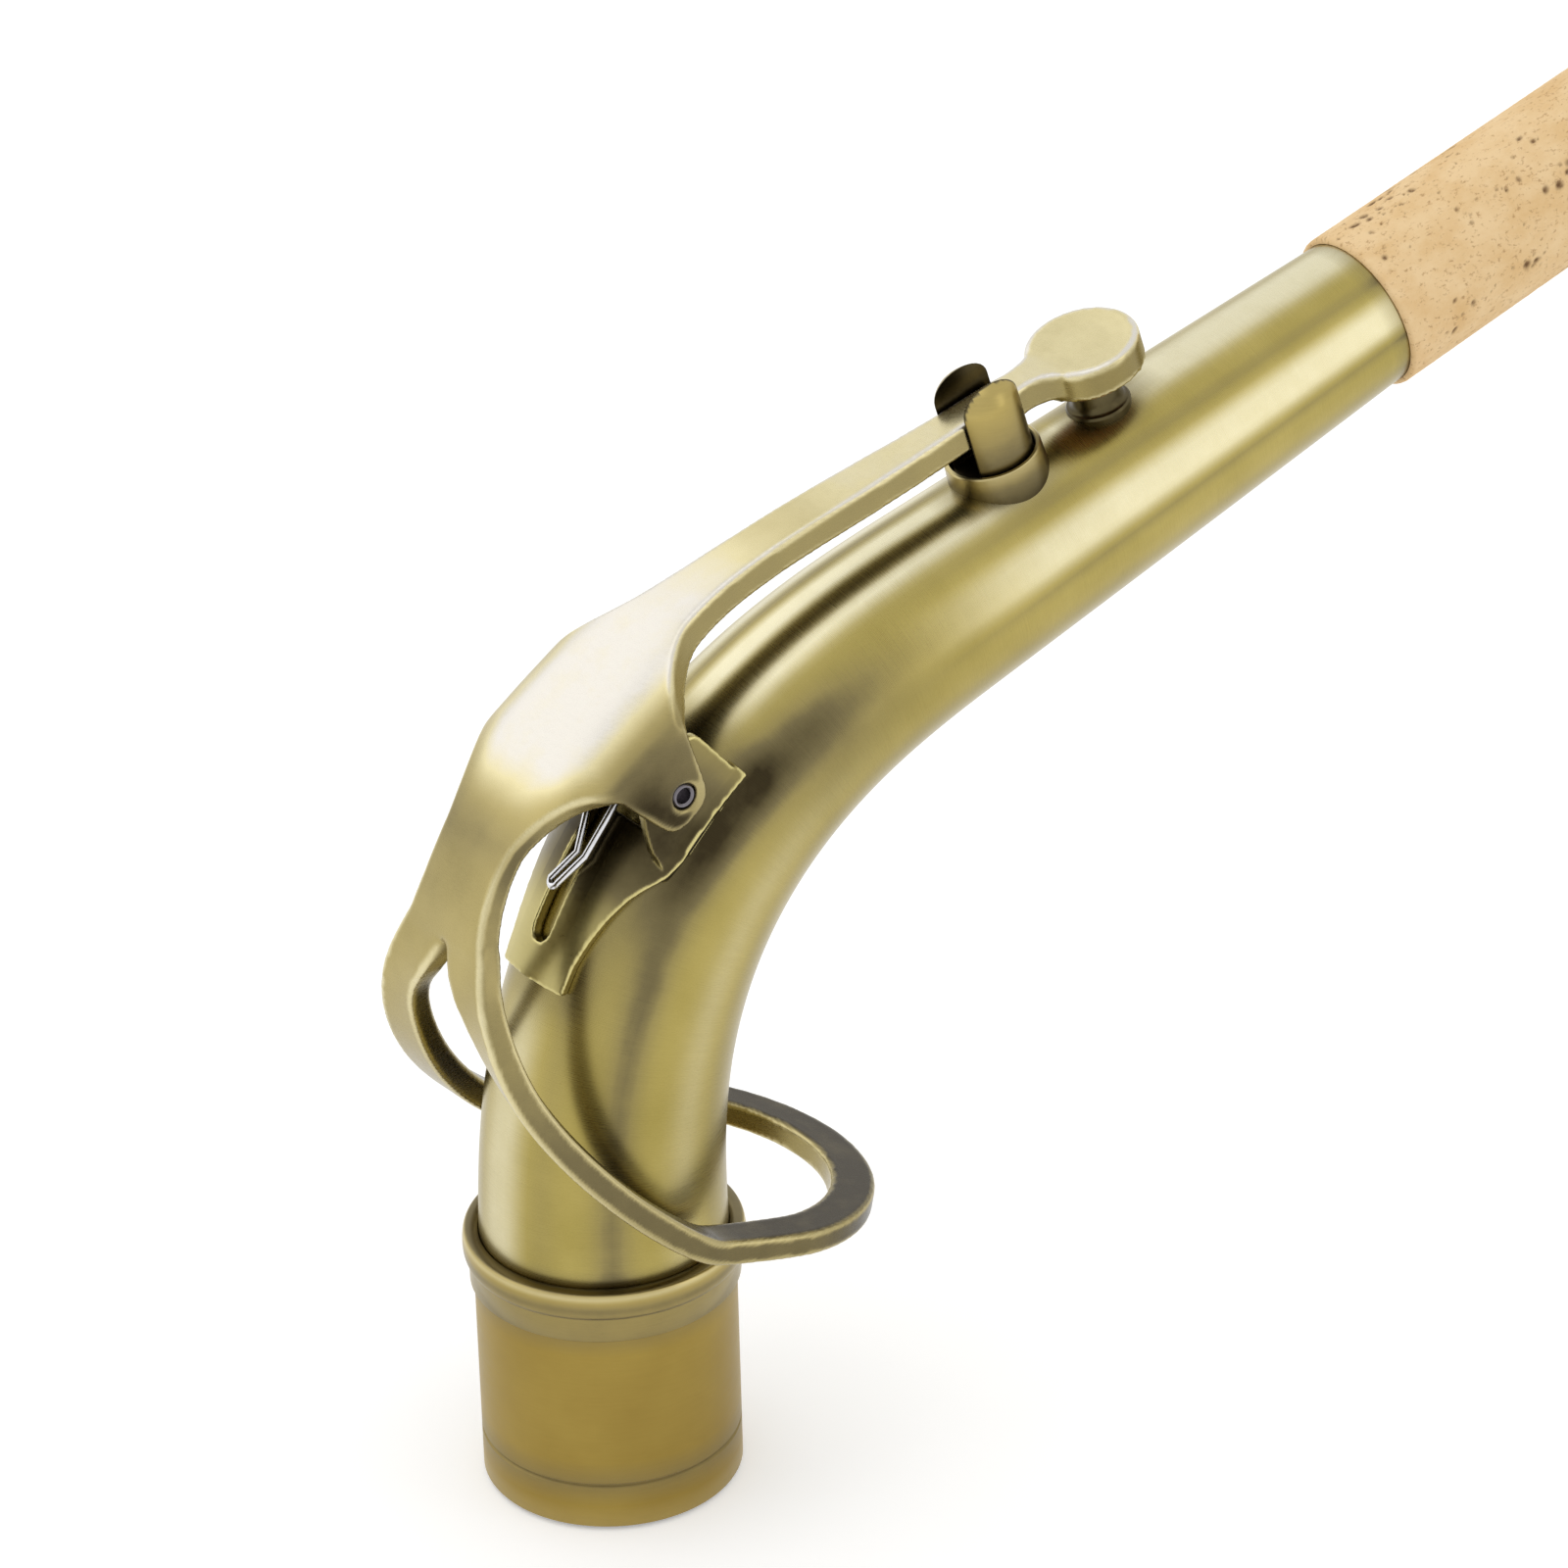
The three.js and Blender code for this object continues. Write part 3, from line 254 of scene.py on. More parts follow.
CURVE_STEPS = 720
curve = [(0.0, BEND_START_HEIGHT)]
for i in range(CURVE_STEPS):
    step = BEND_LENGTH / CURVE_STEPS
    heading = heading_at((i + 0.5) * step)
    curve.append((curve[-1][0] + step * cos(heading), curve[-1][1] + step * sin(heading)))


def centre_at(station):
    if station <= 0:
        return 0.0, BEND_START_HEIGHT + station
    if station >= BEND_LENGTH:
        past = station - BEND_LENGTH
        x, z = curve[-1]
        return x + past * cos(MOUTH_ANGLE), z + past * sin(MOUTH_ANGLE)
    place = station / BEND_LENGTH * CURVE_STEPS
    below = int(place)
    share = place - below
    (ax, az), (bx, bz) = curve[below], curve[below + 1]
    return ax + (bx - ax) * share, az + (bz - az) * share


def radius_at(station):
    if station <= 0:
        return TUBE_RADIUS
    if station > CORK_STATION:
        past = (station - CORK_STATION) / (MOUTH_STATION - CORK_STATION)
        return RADIUS_AT_CORK + (RADIUS_AT_MOUTH - RADIUS_AT_CORK) * past
    u = station / CORK_STATION
    return TUBE_RADIUS + (RADIUS_AT_CORK - TUBE_RADIUS) * u + TUBE_SWELL * 4 * u * (1 - u)


def radii_at(stations):
    return np.array([radius_at(s) for s in stations])


def point_at(station, out, y):
    x, z = centre_at(station)
    heading = heading_at(station)
    return Vector((x - out * sin(heading), y, z + out * cos(heading)))


def frame_at(station, out):
    """Local X along the tube, local Y out of the crown, local Z towards the camera's side."""
    heading = heading_at(station)
    along = Vector((cos(heading), 0, sin(heading)))
    outward = Vector((-sin(heading), 0, cos(heading)))
    matrix = Matrix((along, outward, along.cross(outward))).transposed().to_4x4()
    matrix.translation = point_at(station, out, 0)
    return matrix


def circle(sides):
    return [2 * pi * i / sides for i in range(sides)]


def ring_at(station, radius, turns):
    """Points round the centreline at a station, by their angles from the crown."""
    return [point_at(station, radius * cos(t), radius * sin(t)) for t in turns]


def stations_between(low, high, bend_step, straight_step):
    stations = [low]
    while stations[-1] < high:
        inside_bend = -2 < stations[-1] < BEND_LENGTH + 2
        stations.append(stations[-1] + (bend_step if inside_bend else straight_step))
    stations[-1] = high
    return stations


hinge_out = radius_at(HINGE_STATION) + HINGE_RISE
hinge_frame = frame_at(HINGE_STATION, hinge_out)
pad_frame = frame_at(PAD_STATION, radius_at(PAD_STATION))
guide_frame = frame_at(GUIDE_STATION, radius_at(GUIDE_STATION))
ALONG_HINGE = hinge_frame @ Matrix.Rotation(-pi / 2, 4, "X")
UP = Matrix.Rotation(pi / 2, 4, "X")
tenon_outer = TUBE_RADIUS + SOLDER_GAP + TENON_WALL


# Outlines
def rectangle(half_width, low, high):
    return [(-half_width, low), (half_width, low), (half_width, high), (-half_width, high)]


def curve_through(p, q, r, steps):
    """Quadratic curve from p to r, pulled to q."""
    points = []
    for i in range(1, steps + 1):
        t = i / steps
        points.append(tuple((1 - t) ** 2 * a + 2 * (1 - t) * t * b + t * t * c
                            for a, b, c in zip(p, q, r)))
    return points


def blurred(places, table, samples, window):
    """Values of a table at samples, its corners rounded over a window of the same unit."""
    offsets = np.linspace(-window / 2, window / 2, BLUR_SAMPLES)
    return np.array([
        sum(np.interp(samples + offset, places, column) for offset in offsets) / len(offsets)
        for column in np.array(table, float).T]).T


def eased(values, passes):
    """Evens out a run of points, keeping its ends."""
    values = np.array(values, float)
    for _ in range(passes):
        values[1:-1] = (values[:-2] + 2 * values[1:-1] + values[2:]) / 4
    return values


def unit(vector):
    return vector / np.linalg.norm(vector)


# Meshes
def mesh_object(name, points, faces):
    mesh = bpy.data.meshes.new(name)
    mesh.from_pydata([tuple(p) for p in points], [], faces)
    bm = bmesh.new()
    bm.from_mesh(mesh)
    bmesh.ops.recalc_face_normals(bm, faces=bm.faces)
    bm.to_mesh(mesh)
    bm.free()
    piece = bpy.data.objects.new(name, mesh)
    bpy.context.scene.collection.objects.link(piece)
    return piece


def skin(name, rings, closed_loop=False):
    """Surface through rings of points; capped at both ends unless the rings close on themselves."""
    count, total = len(rings[0]), len(rings)
    faces = []
    for i in range(total if closed_loop else total - 1):
        here, after = i * count, (i + 1) % total * count
        for j in range(count):
            k = (j + 1) % count
            faces.append((here + j, here + k, after + k, after + j))
    if not closed_loop:
        faces += [tuple(range(count)), tuple(range((total - 1) * count, total * count))]
    return mesh_object(name, [p for ring in rings for p in ring], faces)


def turned(name, profile, sides, matrix):
    """Body turned about local Y; its profile of (radius, height) is closed, or ends on the axis."""
    points, faces, rows = [], [], []
    for radius, height in profile:
        turns = circle(sides) if radius else [0]
        rows.append(range(len(points), len(points) + len(turns)))
        points += [(radius * cos(t), height, radius * sin(t)) for t in turns]
    closing = [(rows[-1], rows[0])] if len(rows[0]) > 1 else []
    for first, second in list(zip(rows, rows[1:])) + closing:
        for i in range(sides):
            j = (i + 1) % sides
            if len(first) == 1:
                faces.append((first[0], second[i], second[j]))
            elif len(second) == 1:
                faces.append((first[i], first[j], second[0]))
            else:
                faces.append((first[i], first[j], second[j], second[i]))
    piece = mesh_object(name, points, faces)
    piece.data.transform(matrix)
    return piece


def slab(name, outline, low, high, matrix):
    """Prism over an outline in local X and Y, from low to high along local Z."""
    count = len(outline)
    faces = [tuple(range(count)), tuple(range(count, 2 * count))]
    for i in range(count):
        j = (i + 1) % count
        faces.append((i, j, count + j, count + i))
    piece = mesh_object(name, [(x, y, z) for z in (low, high) for x, y in outline], faces)
    piece.data.transform(matrix)
    return piece


def cylinder(radius, low, high, sides, matrix):
    """Cutter along local Y."""
    return turned("cutter", [(0, low), (radius, low), (radius, high), (0, high)], sides, matrix)


def rod_bore():
    """Cutter for the rod's hole, which is longer than the key is wide."""
    return cylinder(ROD_RADIUS + ROD_CLEARANCE, -ROD_BORE_REACH, ROD_BORE_REACH, ROD_SIDES,
                    ALONG_HINGE)


def settle(piece, kind, **values):
    """Adds a modifier, keeps its result as the mesh and removes it."""
    modifier = piece.modifiers.new(kind.lower(), kind)
    for key, value in values.items():
        setattr(modifier, key, value)
    graph = bpy.context.evaluated_depsgraph_get()
    graph.update()
    mesh = bpy.data.meshes.new_from_object(piece.evaluated_get(graph))
    piece.modifiers.clear()
    old = piece.data
    piece.data = mesh
    bpy.data.meshes.remove(old)


def cut(piece, tool, operation="DIFFERENCE"):
    settle(piece, "BOOLEAN", operation=operation, solver="EXACT", object=tool)
    bpy.data.objects.remove(tool)
    return piece


def join(first, *others):
    """Puts the others' faces into the first mesh; overlaps stay until a remesh."""
    bm = bmesh.new()
    bm.from_mesh(first.data)
    for other in others:
        bm.from_mesh(other.data)
        bpy.data.objects.remove(other)
    bm.to_mesh(first.data)
    bm.free()


def rows_of(items, name, width=3, kind=float):
    """One property of all items, as rows of numbers."""
    values = np.empty(len(items) * width, kind)
    items.foreach_get(name, values)
    return values.reshape(-1, width)


def move_points(mesh, points):
    mesh.vertices.foreach_set("co", points.ravel())
    mesh.update()


def neighbour_mean(mesh):
    """A function that gives, for one value per point, the mean over each point's neighbours."""
    count = len(mesh.vertices)
    first, second = rows_of(mesh.edges, "vertices", 2, np.int64).T
    joins = np.bincount(first, minlength=count) + np.bincount(second, minlength=count)
    joins = np.maximum(joins, 1)

    def around(values):
        return (np.bincount(first, values[second], count)
                + np.bincount(second, values[first], count)) / joins
    return around


def relax(piece, passes, keep_volume=False, share=None):
    """Draws each point halfway to its neighbours, and back out again to keep the volume."""
    points = rows_of(piece.data.vertices, "co")
    around = neighbour_mean(piece.data)
    weight = np.ones(len(points)) if share is None else share(points)
    for _ in range(passes):
        for step in (0.5, -0.5) if keep_volume else (0.5,):
            for axis in range(3):
                line = points[:, axis]
                points[:, axis] = line + step * weight * (around(line) - line)
    move_points(piece.data, points)


def fuse(piece, voxel, passes):
    """One skin round everything in the mesh, evened out without shrinking."""
    settle(piece, "REMESH", mode="VOXEL", voxel_size=voxel, use_smooth_shade=True)
    relax(piece, passes, keep_volume=True)


def surface(mesh):
    """Points, outward normals and how far each point stands out of its neighbours."""
    points, normals = rows_of(mesh.vertices, "co"), rows_of(mesh.vertex_normals, "vector")
    around = neighbour_mean(mesh)
    proud = ((points - np.stack([around(line) for line in points.T], 1)) * normals).sum(1)
    for _ in range(PROUD_PASSES):
        proud = (proud + around(proud)) / 2
    return points, normals, proud


def add_values(mesh, name, values):
    attribute = mesh.attributes.new(name, "FLOAT", "POINT")
    attribute.data.foreach_set("value", np.clip(values, 0, 1).astype(np.float32))


def dress(piece, node, slot, material, sharp_angle, tarnish_and_painted_light):
    """Scales to metres, shades smooth but for sharp edges, and takes the node's place."""
    if tarnish_and_painted_light is not None:
        # Two values for every point: darkening by tarnish and painted shade, and paling by wear and
        # painted highlights
        for name, values in zip(("tarnish_and_painted_shade", "worn_and_painted_highlight"), tarnish_and_painted_light(*surface(piece.data))):
            add_values(piece.data, name, values)
    piece.data.transform(Matrix.Scale(MM, 4))
    piece.data.materials.clear()
    piece.data.materials.append(material)
    for polygon in piece.data.polygons:
        polygon.use_smooth = True
    piece.data.set_sharp_from_angle(angle=radians(sharp_angle))
    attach(piece, frame["nodes"][node]["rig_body"])
    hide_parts(node)


# Places on the part, for many points at once
PLACE_CHUNK = 20000
# From under the tenon's foot to past the mouth, every half millimetre
curve_stations = np.arange(-22, MOUTH_STATION + 1, 0.5)
curve_points = np.array([centre_at(s) for s in curve_stations])
curve_headings = np.array([heading_at(s) for s in curve_stations])


def tube_place(points):
    """Station along the tube, distance out of its middle, and angle from its crown in degrees."""
    stations, outs = np.empty(len(points)), np.empty(len(points))
    for start in range(0, len(points), PLACE_CHUNK):
        chunk = slice(start, start + PLACE_CHUNK)
        gaps = points[chunk, None, [0, 2]] - curve_points[None]
        nearest = (gaps ** 2).sum(2).argmin(1)
        x, z = gaps[np.arange(len(gaps)), nearest].T
        c, s = np.cos(curve_headings[nearest]), np.sin(curve_headings[nearest])
        stations[chunk] = curve_stations[nearest] + (x * c + z * s)
        outs[chunk] = -x * s + z * c
    return stations, outs, np.degrees(np.arctan2(np.abs(points[:, 1]), outs))


def local_place(points, matrix):
    """Coordinates along, above and across a local frame."""
    inverse = np.array(matrix.inverted())
    return (points @ inverse[:3, :3].T + inverse[:3, 3]).T


def smooth(share):
    share = np.clip(share, 0, 1)
    return share * share * (3 - 2 * share)


def rise(value, low, high):
    return smooth((value - low) / (high - low))


def fall(value, low, high):
    return 1 - rise(value, low, high)


def bell(value, middle, width):
    return np.exp(-((value - middle) / width) ** 2)


# Materials
class Shading:
    """A node tree that grows by one node at a call."""

    def __init__(self, tree):
        self.tree = tree

    def feed(self, node, inputs):
        """Links or sets inputs, by name or number, to another node's output or to a value."""
        for name, value in inputs.items():
            socket = node.inputs[name]
            if isinstance(value, bpy.types.NodeSocket):
                self.tree.links.new(value, socket)
            else:
                socket.default_value = (*value, 1) if socket.type == "RGBA" else value

    def add(self, kind, output, inputs, **settings):
        node = self.tree.nodes.new("ShaderNode" + kind)
        for name, value in settings.items():
            setattr(node, name, value)
        self.feed(node, inputs)
        return node.outputs[output]

    def noise(self, place, scale, detail=4, roughness=0.6):
        return self.add("TexNoise", "Fac", {"Vector": place, "Scale": scale, "Detail": detail,
                                            "Roughness": roughness})

    def place(self, source="Object"):
        return self.add("TexCoord", source, {})

    def stretched(self, place, scale):
        return self.add("Mapping", "Vector", {"Vector": place, "Scale": scale})

    def point_value(self, name):
        return self.add("Attribute", "Fac", {}, attribute_name=name)

    def ramp(self, factor, *stops):
        colour = self.add("ValToRGB", "Color", {"Fac": factor})
        for element, (position, stop) in zip(colour.node.color_ramp.elements, stops):
            element.position = position
            element.color = (*stop, 1)
        return colour

    def span(self, value, low, high, to_low, to_high):
        return self.add("MapRange", "Result", {"Value": value, "From Min": low, "From Max": high,
                                               "To Min": to_low, "To Max": to_high})

    def mixed(self, factor, first, second):
        return self.add("Mix", 2, {"Factor": factor, 6: first, 7: second}, data_type="RGBA")

    def product(self, first, second):
        return self.add("Math", 0, {0: first, 1: second}, operation="MULTIPLY", use_clamp=True)

    def bump(self, height, strength, distance):
        return self.add("Bump", "Normal", {"Height": height, "Strength": strength,
                                           "Distance": distance})

    def seen_directly(self):
        """1 for what the camera sees, straight or in metal, 0 for light that falls on things."""
        seen = ray = self.add("LightPath", "Is Camera Ray", {})
        for name in ("Is Glossy Ray", "Is Transmission Ray"):
            seen = self.add("Math", 0, {0: seen, 1: ray.node.outputs[name]}, operation="MAXIMUM")
        return seen


class Paint(Shading):
    """A material round its Principled node."""

    def __init__(self, name, base, roughness, metallic):
        self.material = bpy.data.materials.new(name)
        self.material.use_nodes = True
        super().__init__(self.material.node_tree)
        self.principled = self.tree.nodes["Principled BSDF"]
        self.coat({"Base Color": base, "Roughness": roughness, "Metallic": metallic})

    def coat(self, inputs):
        self.feed(self.principled, inputs)


# Colours that darken the brass, for tarnish and painted shade: middle and deepest
TARNISH_AND_SHADE_COLOUR = (0.2, 0.165, 0.085)
DEEP_TARNISH_AND_SHADE_COLOUR = (0.042, 0.032, 0.015)
CLOUD_SCALE = 60
UNEVEN_SCALE = 300
# Share of wear and painted highlight at which the cream tone is full and the pale one begins
CREAM_SHARE = 0.55
# Heights of bumps, in metres
BRUSH_HEIGHT = 0.00001
BARK_HEIGHT = 0.0001


def brass(name, light, dark, pale, roughness, streaks, grain, source="Object", cream=None):
    """Antiqued brass: cloudy tone and fine brush lines, darkened by tarnish and painted shade, and
    paled by wear and painted highlights.
    """
    paint = Paint(name, light, roughness, 1)
    place = paint.place()
    colour = paint.ramp(paint.noise(place, CLOUD_SCALE, 5, 0.55), (0.32, dark), (0.66, light))
    uneven = paint.span(paint.noise(place, UNEVEN_SCALE), 0.3, 0.7, 0.9, 1.08)
    # Pale tones where wear and painted highlights are
    worn_and_painted_highlight = paint.product(paint.point_value("worn_and_painted_highlight"), uneven)
    if cream:
        colour = paint.mixed(paint.span(worn_and_painted_highlight, 0, CREAM_SHARE, 0, 1), colour, cream)
        worn_and_painted_highlight = paint.span(worn_and_painted_highlight, CREAM_SHARE, 1, 0, 1)
    colour = paint.mixed(worn_and_painted_highlight, colour, pale)
    # Dark tones where tarnish and painted shade are
    tarnish_and_painted_shade = paint.product(paint.point_value("tarnish_and_painted_shade"), uneven)
    colour = paint.mixed(paint.span(tarnish_and_painted_shade, 0, 0.5, 0, 0.85), colour, TARNISH_AND_SHADE_COLOUR)
    colour = paint.mixed(paint.span(tarnish_and_painted_shade, 0.3, 1, 0, 1), colour, DEEP_TARNISH_AND_SHADE_COLOUR)
    brush = paint.noise(paint.stretched(paint.place(source), streaks), 1, 4, 0.75)
    shade = paint.span(brush, 0.3, 0.7, 1 - grain, 1 + grain * 0.8)
    paint.coat({
        "Base Color": paint.add("VectorMath", "Vector", {0: colour, "Scale": shade},
                                operation="SCALE"),
        "Roughness": paint.span(brush, 0.25, 0.75, roughness - 0.04, roughness + 0.06),
        "Normal": paint.bump(brush, 0.06, BRUSH_HEIGHT)})
    return paint.material


# Last colour of each brass: the pale tone of wear and painted highlights
tube_brass = brass("tube_brass", (0.45, 0.365, 0.115), (0.35, 0.28, 0.075), (0.74, 0.685, 0.47),
                   0.27, (1900, 9, 1), 0.08, source="UV")
key_brass = brass("key_brass", (0.45, 0.36, 0.125), (0.3, 0.235, 0.075), (0.7, 0.665, 0.6),
                  0.27, (900, 900, 5200), 0.03, cream=(0.7, 0.62, 0.36))
sheet_brass = brass("sheet_brass", (0.38, 0.31, 0.1), (0.28, 0.225, 0.065), (0.68, 0.6, 0.27),
                    0.3, (900, 900, 5200), 0.04)
tenon_brass = brass("tenon_brass", (0.35, 0.25, 0.06), (0.29, 0.2, 0.046), (0.6, 0.48, 0.2),
                    0.4, (300, 300, 4200), 0.05)
collar_brass = brass("collar_brass", (0.47, 0.36, 0.115), (0.37, 0.28, 0.08), (0.72, 0.64, 0.38),
                     0.3, (300, 300, 6000), 0.05)


def steel(name, base, roughness):
    paint = Paint(name, base, roughness, 1)
    grain = paint.noise(paint.place(), 2600, 3)
    paint.coat({
        "Roughness": paint.span(grain, 0.3, 0.7, roughness - 0.05, roughness + 0.08),
        "Base Color": paint.ramp(grain, (0.3, tuple(c * 0.85 for c in base)), (0.7, base))})
    return paint.material


spring_steel = steel("spring_wire_steel", (0.78, 0.78, 0.8), 0.2)
rod_steel = steel("pivot_steel", (0.2, 0.185, 0.2), 0.3)


def bark(name, pale, mid, brown, scale):
    """Cork: warm granules, soft clouds and dark pits."""
    paint = Paint(name, pale, 0.85, 0)
    place = paint.stretched(paint.place(), (1, 1.4, 1.4))
    colour = paint.ramp(paint.noise(place, 180 * scale, 6, 0.65), (0.32, mid), (0.62, pale))
    fleck = paint.span(paint.noise(place, 1500 * scale, 4, 0.75), 0.56, 0.66, 0, 0.6)
    colour = paint.mixed(fleck, colour, brown)
    colour = paint.mixed(paint.point_value("pit"), colour, tuple(c * 0.45 for c in brown))
    grain = paint.noise(place, 2400 * scale, 3, 0.7)
    paint.coat({"Base Color": colour, "Normal": paint.bump(grain, 0.35, BARK_HEIGHT)})
    return paint.material


cork_bark = bark("cork_bark", (0.9, 0.655, 0.36), (0.79, 0.52, 0.235), (0.36, 0.18, 0.06), 1)
pad_bark = bark("pad_bark", (0.42, 0.21, 0.085), (0.32, 0.15, 0.055), (0.16, 0.07, 0.03), 1.5)


# Outline of the saddle sheet. Rows: shares of its reach back, and of its widening
SADDLE_EDGE_SHARES = [
    (1, 0), (0.87, 0.03), (0.75, 0.15), (0.62, 0.32), (0.5, 0.53),
    (0.41, 0.75), (0.34, 0.92), (0.25, 1), (0, 1),
]
saddle_places = np.array([-SADDLE_TAIL_REACH * back for back, _ in SADDLE_EDGE_SHARES]
                         + [SADDLE_FRONT_REACH])
saddle_widths = np.array([SADDLE_TAIL_HALF_WIDTH
                          + (SADDLE_HALF_WIDTH - SADDLE_TAIL_HALF_WIDTH) * wide
                          for _, wide in SADDLE_EDGE_SHARES] + [SADDLE_HALF_WIDTH])


# Tube. Each tone function gives how far every point is darkened by tarnish and painted shade, and
# paled by wear and painted highlights, by its place on the part
def painted_shade_round_fitting(station, angle, middle, inner, outer):
    """Painted shade round a fitting on the crown."""
    return fall(np.hypot(station - middle, np.radians(angle) * radii_at(station)), inner, outer)


def tube_tarnish_and_painted_light(points, *_):
    """Bands by station s, in millimetres, and by angle f from the crown, in degrees."""
    s, out, f = tube_place(points)
    inner = np.hypot(out, points[:, 1]) < radii_at(s) - TUBE_WALL / 2
    straight, bend = rise(s, 58, 86), bell(s, 45, 14)
    ahead = s - HINGE_STATION
    past = np.maximum(np.maximum(ahead - SADDLE_FRONT_REACH, -SADDLE_TAIL_REACH - ahead), 0)
    beside = np.abs(points[:, 1]) - np.interp(ahead, saddle_places, saddle_widths)
    painted_shade_by_saddle = fall(np.hypot(np.maximum(beside, 0), past), 0, 3.6) * fall(f, 60, 80)
    # Darker: painted reflections of dark surroundings in bands along the bend and the straight,
    # painted shade round the saddle, on the underside and round the fittings, and darker inside the
    # bore
    tarnish_and_painted_shade = (0.34 * bell(f, 14, 3.6) * rise(s, 38, 46) * fall(s, 74, 80)
               + 0.22 * bell(f, 40, 4) * straight + 0.28 * bell(f, 87, 3) * straight
               + 0.85 * bell(f - 0.3 * (s - 46), 57, 15) * bend
               + 0.28 * bell(f, 84, 18) * bell(s, 54, 10) + 0.42 * bell(f, 60, 9) * fall(s, 26, 38)
               + 0.14 * bell(f, 26, 8) * fall(s, 24, 36) + 0.28 * painted_shade_by_saddle
               + 0.3 * painted_shade_round_fitting(s, f, GUIDE_STATION, 4.4, 7) + 0.42 * painted_shade_round_fitting(s, f, PAD_STATION, 3, 5.5)
               + 0.4 * fall(s, 0.8, 2.2) + 0.4 * rise(s, CORK_STATION - 1.2, CORK_STATION - 0.3)
               + 0.2 * rise(f, 104, 118) + 0.6 * inner + 0.16 * bell(s, CORK_STATION - 3.6, 0.3))
    # Paler: painted highlights in bands along the tube and on its crown
    worn_and_painted_highlight = (0.74 * rise(f, 47, 61) * fall(f, 72, 84) * rise(s, 62, 84)
              + bell(f, 25, 6.5) * rise(s, 44, 54) * fall(s, 78, 90)
              + fall(f, 3, 11) * rise(s, 44, 52) + 0.9 * bell(f, 11, 8) * rise(s, 90, 99)
              + 0.6 * fall(f, 3, 20) * fall(s, 18, 30) + 0.25 * bell(f, 96, 9) * fall(s, 40, 62))
    return tarnish_and_painted_shade, worn_and_painted_highlight * (1 - np.clip(tarnish_and_painted_shade, 0, 0.6))


# Millimetres of tube to one unit of the brush lines' coordinate
BRUSH_UNIT = 100


def make_tube():
    foot = -(BEND_START_HEIGHT + TUBE_SOCKET_DEPTH)
    lip = TUBE_WALL / 4
    outside, inside = (stations_between(foot + lip, MOUTH_STATION - lip, *steps)
                       for steps in (TUBE_STEPS_OUTSIDE, TUBE_STEPS_INSIDE))
    rings = [(foot, -lip)] + [(s, 0) for s in outside]
    rings += [(MOUTH_STATION, -lip), (MOUTH_STATION, lip - TUBE_WALL)]
    rings += [(s, -TUBE_WALL) for s in reversed(inside)] + [(foot, lip - TUBE_WALL)]
    turns = circle(TUBE_SIDES)
    tube = skin("neck_tube_skin", [ring_at(s, radius_at(s) + extra, turns) for s, extra in rings],
                closed_loop=True)
    layer = tube.data.uv_layers.new(name="brush")
    for polygon in tube.data.polygons:
        corners = [tube.data.loops[i].vertex_index for i in polygon.loop_indices]
        sides = [corner % TUBE_SIDES for corner in corners]
        wraps = max(sides) - min(sides) > 1
        for index, corner, side in zip(polygon.loop_indices, corners, sides):
            around = (side + TUBE_SIDES if wraps and side == 0 else side) / TUBE_SIDES
            layer.data[index].uv = (rings[corner // TUBE_SIDES][0] / BRUSH_UNIT, around)
    return tube


def tenon_tarnish_and_painted_light(points, *_):
    # Darker in the groove, under the collar and inside, as tarnish and painted shade; paler towards
    # the foot
    radius, z = np.hypot(points[:, 0], points[:, 1]), points[:, 2]
    groove = bell(z, -TENON_LENGTH + TENON_GROOVE_HEIGHT, TENON_GROOVE_WIDTH)
    tarnish_and_painted_shade = (0.4 * groove + 0.3 * rise(z, -1.6, 0)
               + 0.5 * (radius < TUBE_RADIUS + TENON_WALL / 2))
    return tarnish_and_painted_shade, 0.3 * fall(z, 0.3 - TENON_LENGTH, 1 - TENON_LENGTH) * (1 - groove)


def make_tenon():
    inner, outer = TUBE_RADIUS + SOLDER_GAP / 2, tenon_outer
    foot = -TENON_LENGTH
    groove = foot + TENON_GROOVE_HEIGHT
    half = TENON_GROOVE_WIDTH / 2
    top = COLLAR_HEIGHT / 2
    lip = TENON_WALL / 5
    steps = 8
    profile = [(inner, foot + lip), (inner + lip, foot), (outer - 2 * lip, foot),
               (outer - lip, foot + lip / 3), (outer, foot + 2 * lip),
               (outer, foot + TENON_GROOVE_HEIGHT / 2), (outer, groove - half),
               (outer - TENON_GROOVE_DEPTH, groove - half / 3),
               (outer - TENON_GROOVE_DEPTH, groove + half / 3), (outer, groove + half)]
    profile += [(outer, groove + half + (top - groove - half) * i / steps)
                for i in range(1, steps + 1)]
    return turned("tenon_skin", profile + [(inner, top)], LATHE_SIDES, UP)


def collar_tarnish_and_painted_light(points, *_):
    # Painted shade: darker at the top edge by the tube, in a line at the step, low down and in a
    # band on the bead; a painted highlight along the top of the bead
    z = points[:, 2]
    tarnish_and_painted_shade = (0.55 * rise(z, COLLAR_HEIGHT - 0.2, COLLAR_HEIGHT)
               + 0.35 * bell(z, COLLAR_STEP_HEIGHT, 0.35)
               + 0.3 * fall(z, 0.8, COLLAR_STEP_HEIGHT + 0.4)
               + 0.42 * bell(z, COLLAR_STEP_HEIGHT + 1, 0.8))
    return tarnish_and_painted_shade, 0.5 * bell(z, COLLAR_HEIGHT - 0.4, 0.28)


